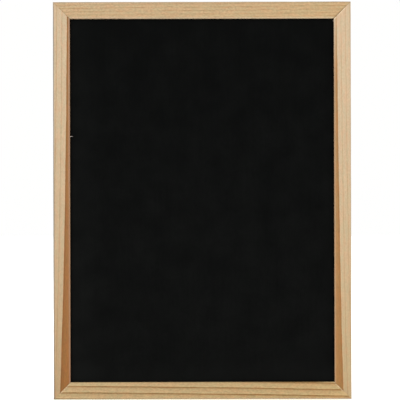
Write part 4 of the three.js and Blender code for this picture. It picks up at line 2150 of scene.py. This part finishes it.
@dataclass
class Splinters:
    """Two fibres that stand off the frame at its sight edges, where a cutter tore the wood. girth is
    about twice a fibre's radius at its root, tip_share the share of girth that its radius is at the
    tip, and lean how much it is bent in Y for each unit that it is bent up."""

    girth: float = 0.56 * MM
    rings: int = 9
    facets: int = 7
    lean: float = -0.4
    tip_share: float = 0.06
    crease: float = 60.0
    strands: tuple[Strand, ...] = (
        Strand("splinter_left", -1, (0.5, -12.3, 64.3), (-2.9, -12.0, 64.5), 0.25),
        Strand("splinter_top_right", 1, (0.5, -12.1, 180.5), (-1.0, -12.3, 179.9), 0.2),
    )

    def tree(self) -> ShapeTree:
        """Plans how a tapered, slightly bent fibre is drawn along a path.

        Returns:
            The tree, which takes the path.
        """
        shape = ShapeTree("torn_fibre", {"Rings": "Int", "Girth": "Float", "Bend": "Float"})
        pen = shape.pen
        path = shape.step("GeometryNodeMeshToCurve", sockets={"Mesh": shape.given("Geometry")})
        path = shape.resampled(path, shape.given("Rings"))
        along = pen.wire(pen.node("GeometryNodeSplineParameter"), "Factor")
        arch = pen.math("SINE", along * math.pi) * shape.given("Bend")
        path = shape.moved(path, Offset=pen.join(0.0, arch * self.lean, arch))
        girth = shape.step(
            "GeometryNodeCurvePrimitiveCircle",
            {"mode": "RADIUS"},
            {"Resolution": self.facets, "Radius": shape.given("Girth")},
        )
        taper = (1 - along * along) * 0.5 + self.tip_share
        shape.close(shape.swept(path, girth, Scale=taper))
        return shape

    def build(self) -> None:
        """Builds and dresses the fibres."""
        shape = self.tree()
        finish = TornFibre().material()
        for strand in self.strands:
            path = bpy.data.meshes.new(strand.name)
            path.from_pydata([strand.end(strand.root), strand.end(strand.tip)], [(0, 1)], [])
            values = {"Rings": self.rings, "Girth": self.girth, "Bend": strand.bend * MM}
            mesh = shape.grow(path, values, finish)
            Workshop.shade(mesh, self.crease)
            Workshop.place_piece(strand.name, mesh, "pine", [])


@dataclass
class WritingPanel:
    """The enamelled steel sheet and the hardboard that it is bonded to."""

    def build(self) -> None:
        """Dresses the two solids of the panel, whose shapes stay as they are."""
        Workshop.dress(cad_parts["writing_sheet"], ChalkCoating().material())
        Workshop.dress(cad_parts["core_board"], Hardboard().material())
        LOG.info("writing_sheet and core_board dressed")


@dataclass
class MitreNails:
    """Eight V-nails in the backs of the mitres."""

    def build(self, material: bpy.types.Material) -> None:
        """Dresses the V-nails' solids, whose shapes stay as they are.

        Args:
            material: plain steel.
        """
        for item in Workshop.solids("v_nail"):
            Workshop.dress(item, material)
            LOG.info("%s dressed", item.name)


@dataclass(frozen=True)
class Softbox:
    """A soft square light: where it hangs, the length of its side and its watts."""

    name: str
    place: Xyz
    size: float
    power: float


@dataclass
class Studio:
    """White studio: pale floor, even white surround, soft lights and the camera. picture_width is
    what the picture takes in at the board's face, where camera_distance is measured from."""

    camera_distance: float = 2.0
    picture_width: float = 402.6 * MM
    sensor_mm: float = 36.0
    clip: tuple[float, float] = (0.01, 50.0)
    aim_right: float = -2.2 * MM
    aim_up: float = 0.4 * MM
    roll: float = math.radians(-0.13)
    surround: float = 1.0
    surround_tone: Rgb = (1.0, 1.0, 0.995)
    floor_reach: float = 9.0
    floor_gap: float = 0.2 * MM
    lights: tuple[Softbox, ...] = (
        Softbox("key", (-1.1, -1.9, 0.9), 1.3, 17.0),
        Softbox("fill", (1.4, -1.7, 0.2), 1.4, 7.0),
        Softbox("back_left", (1.2, 1.9, 0.8), 1.3, 17.0),
        Softbox("back_right", (-1.4, 1.7, 0.1), 1.4, 7.0),
    )

    def build(self) -> None:
        """Builds the studio."""
        self._surround()
        self._floor()
        for light in self.lights:
            self._hang(light)
        self._camera()

    def _surround(self) -> None:
        """Makes the even white surround."""
        world = bpy.data.worlds.new("white_surround")
        world.use_nodes = True
        world.node_tree.nodes.clear()
        pen = NodePen(world.node_tree)
        glow = pen.node(
            "ShaderNodeBackground",
            sockets={"Color": self.surround_tone, "Strength": self.surround},
        )
        pen.node("ShaderNodeOutputWorld", sockets={"Surface": pen.wire(glow, "Background")})
        bpy.context.scene.world = world

    def _floor(self) -> None:
        """Makes the pale floor, just below the board's lower edge."""
        reach, level = self.floor_reach, BOARD.bottom - self.floor_gap
        mesh = bpy.data.meshes.new("studio_floor")
        corners = [(-reach, -reach), (reach, -reach), (reach, reach), (-reach, reach)]
        mesh.from_pydata([(x, y, level) for x, y in corners], [], [(0, 1, 2, 3)])
        floor = bpy.data.objects.new("studio_floor", mesh)
        bpy.context.scene.collection.objects.link(floor)
        Workshop.dress(floor, StudioFloor().material())

    @staticmethod
    def _hang(light: Softbox) -> None:
        """Hangs a light so that it points at the board's middle.

        Args:
            light: the light.
        """
        lamp = bpy.data.lights.new(light.name, "AREA")
        lamp.shape, lamp.size, lamp.energy = "SQUARE", light.size, light.power
        holder = bpy.data.objects.new(light.name, lamp)
        holder.location = light.place
        aim = Vector((0, 0, -BOARD.hang_height)) - Vector(light.place)
        holder.rotation_euler = aim.to_track_quat("-Z", "Y").to_euler()
        bpy.context.scene.collection.objects.link(holder)

    def _camera(self) -> None:
        """Stands the camera square to the writing face, and has its picture shown as it is."""
        lens = bpy.data.cameras.new("camera")
        lens.sensor_fit, lens.sensor_width = "HORIZONTAL", self.sensor_mm
        lens.lens = self.sensor_mm * self.camera_distance / self.picture_width
        lens.clip_start, lens.clip_end = self.clip
        lens.dof.use_dof = False
        camera = bpy.data.objects.new("camera", lens)
        back, up = BOARD.rail_depth + self.camera_distance, self.aim_up - BOARD.hang_height
        place = Vector((self.aim_right, -back, up))
        facing = Matrix.Rotation(math.pi / 2, 4, "X") @ Matrix.Rotation(self.roll, 4, "Z")
        camera.matrix_world = Matrix.Translation(place) @ facing
        bpy.context.scene.collection.objects.link(camera)
        bpy.context.scene.camera = camera
        bpy.context.scene.view_settings.view_transform = "Standard"
        bpy.context.scene.view_settings.look = "None"


def main() -> None:
    """Builds and dresses the board's sub-assemblies in order, then the studio."""
    logging.basicConfig(level=logging.INFO, format="%(name)s: %(message)s")
    zinc = ZincPlate().material()
    steel = PlainSteel().material()
    points = RetainingPoints().build(steel)
    FrameMouldings().build(points)
    WritingPanel().build()
    MitreNails().build(steel)
    hangers = SawtoothHangers()
    hangers.build(zinc)
    HangerNails().build(hangers, zinc)
    Splinters().build()
    Studio().build()


if __name__ == "__main__":
    main()
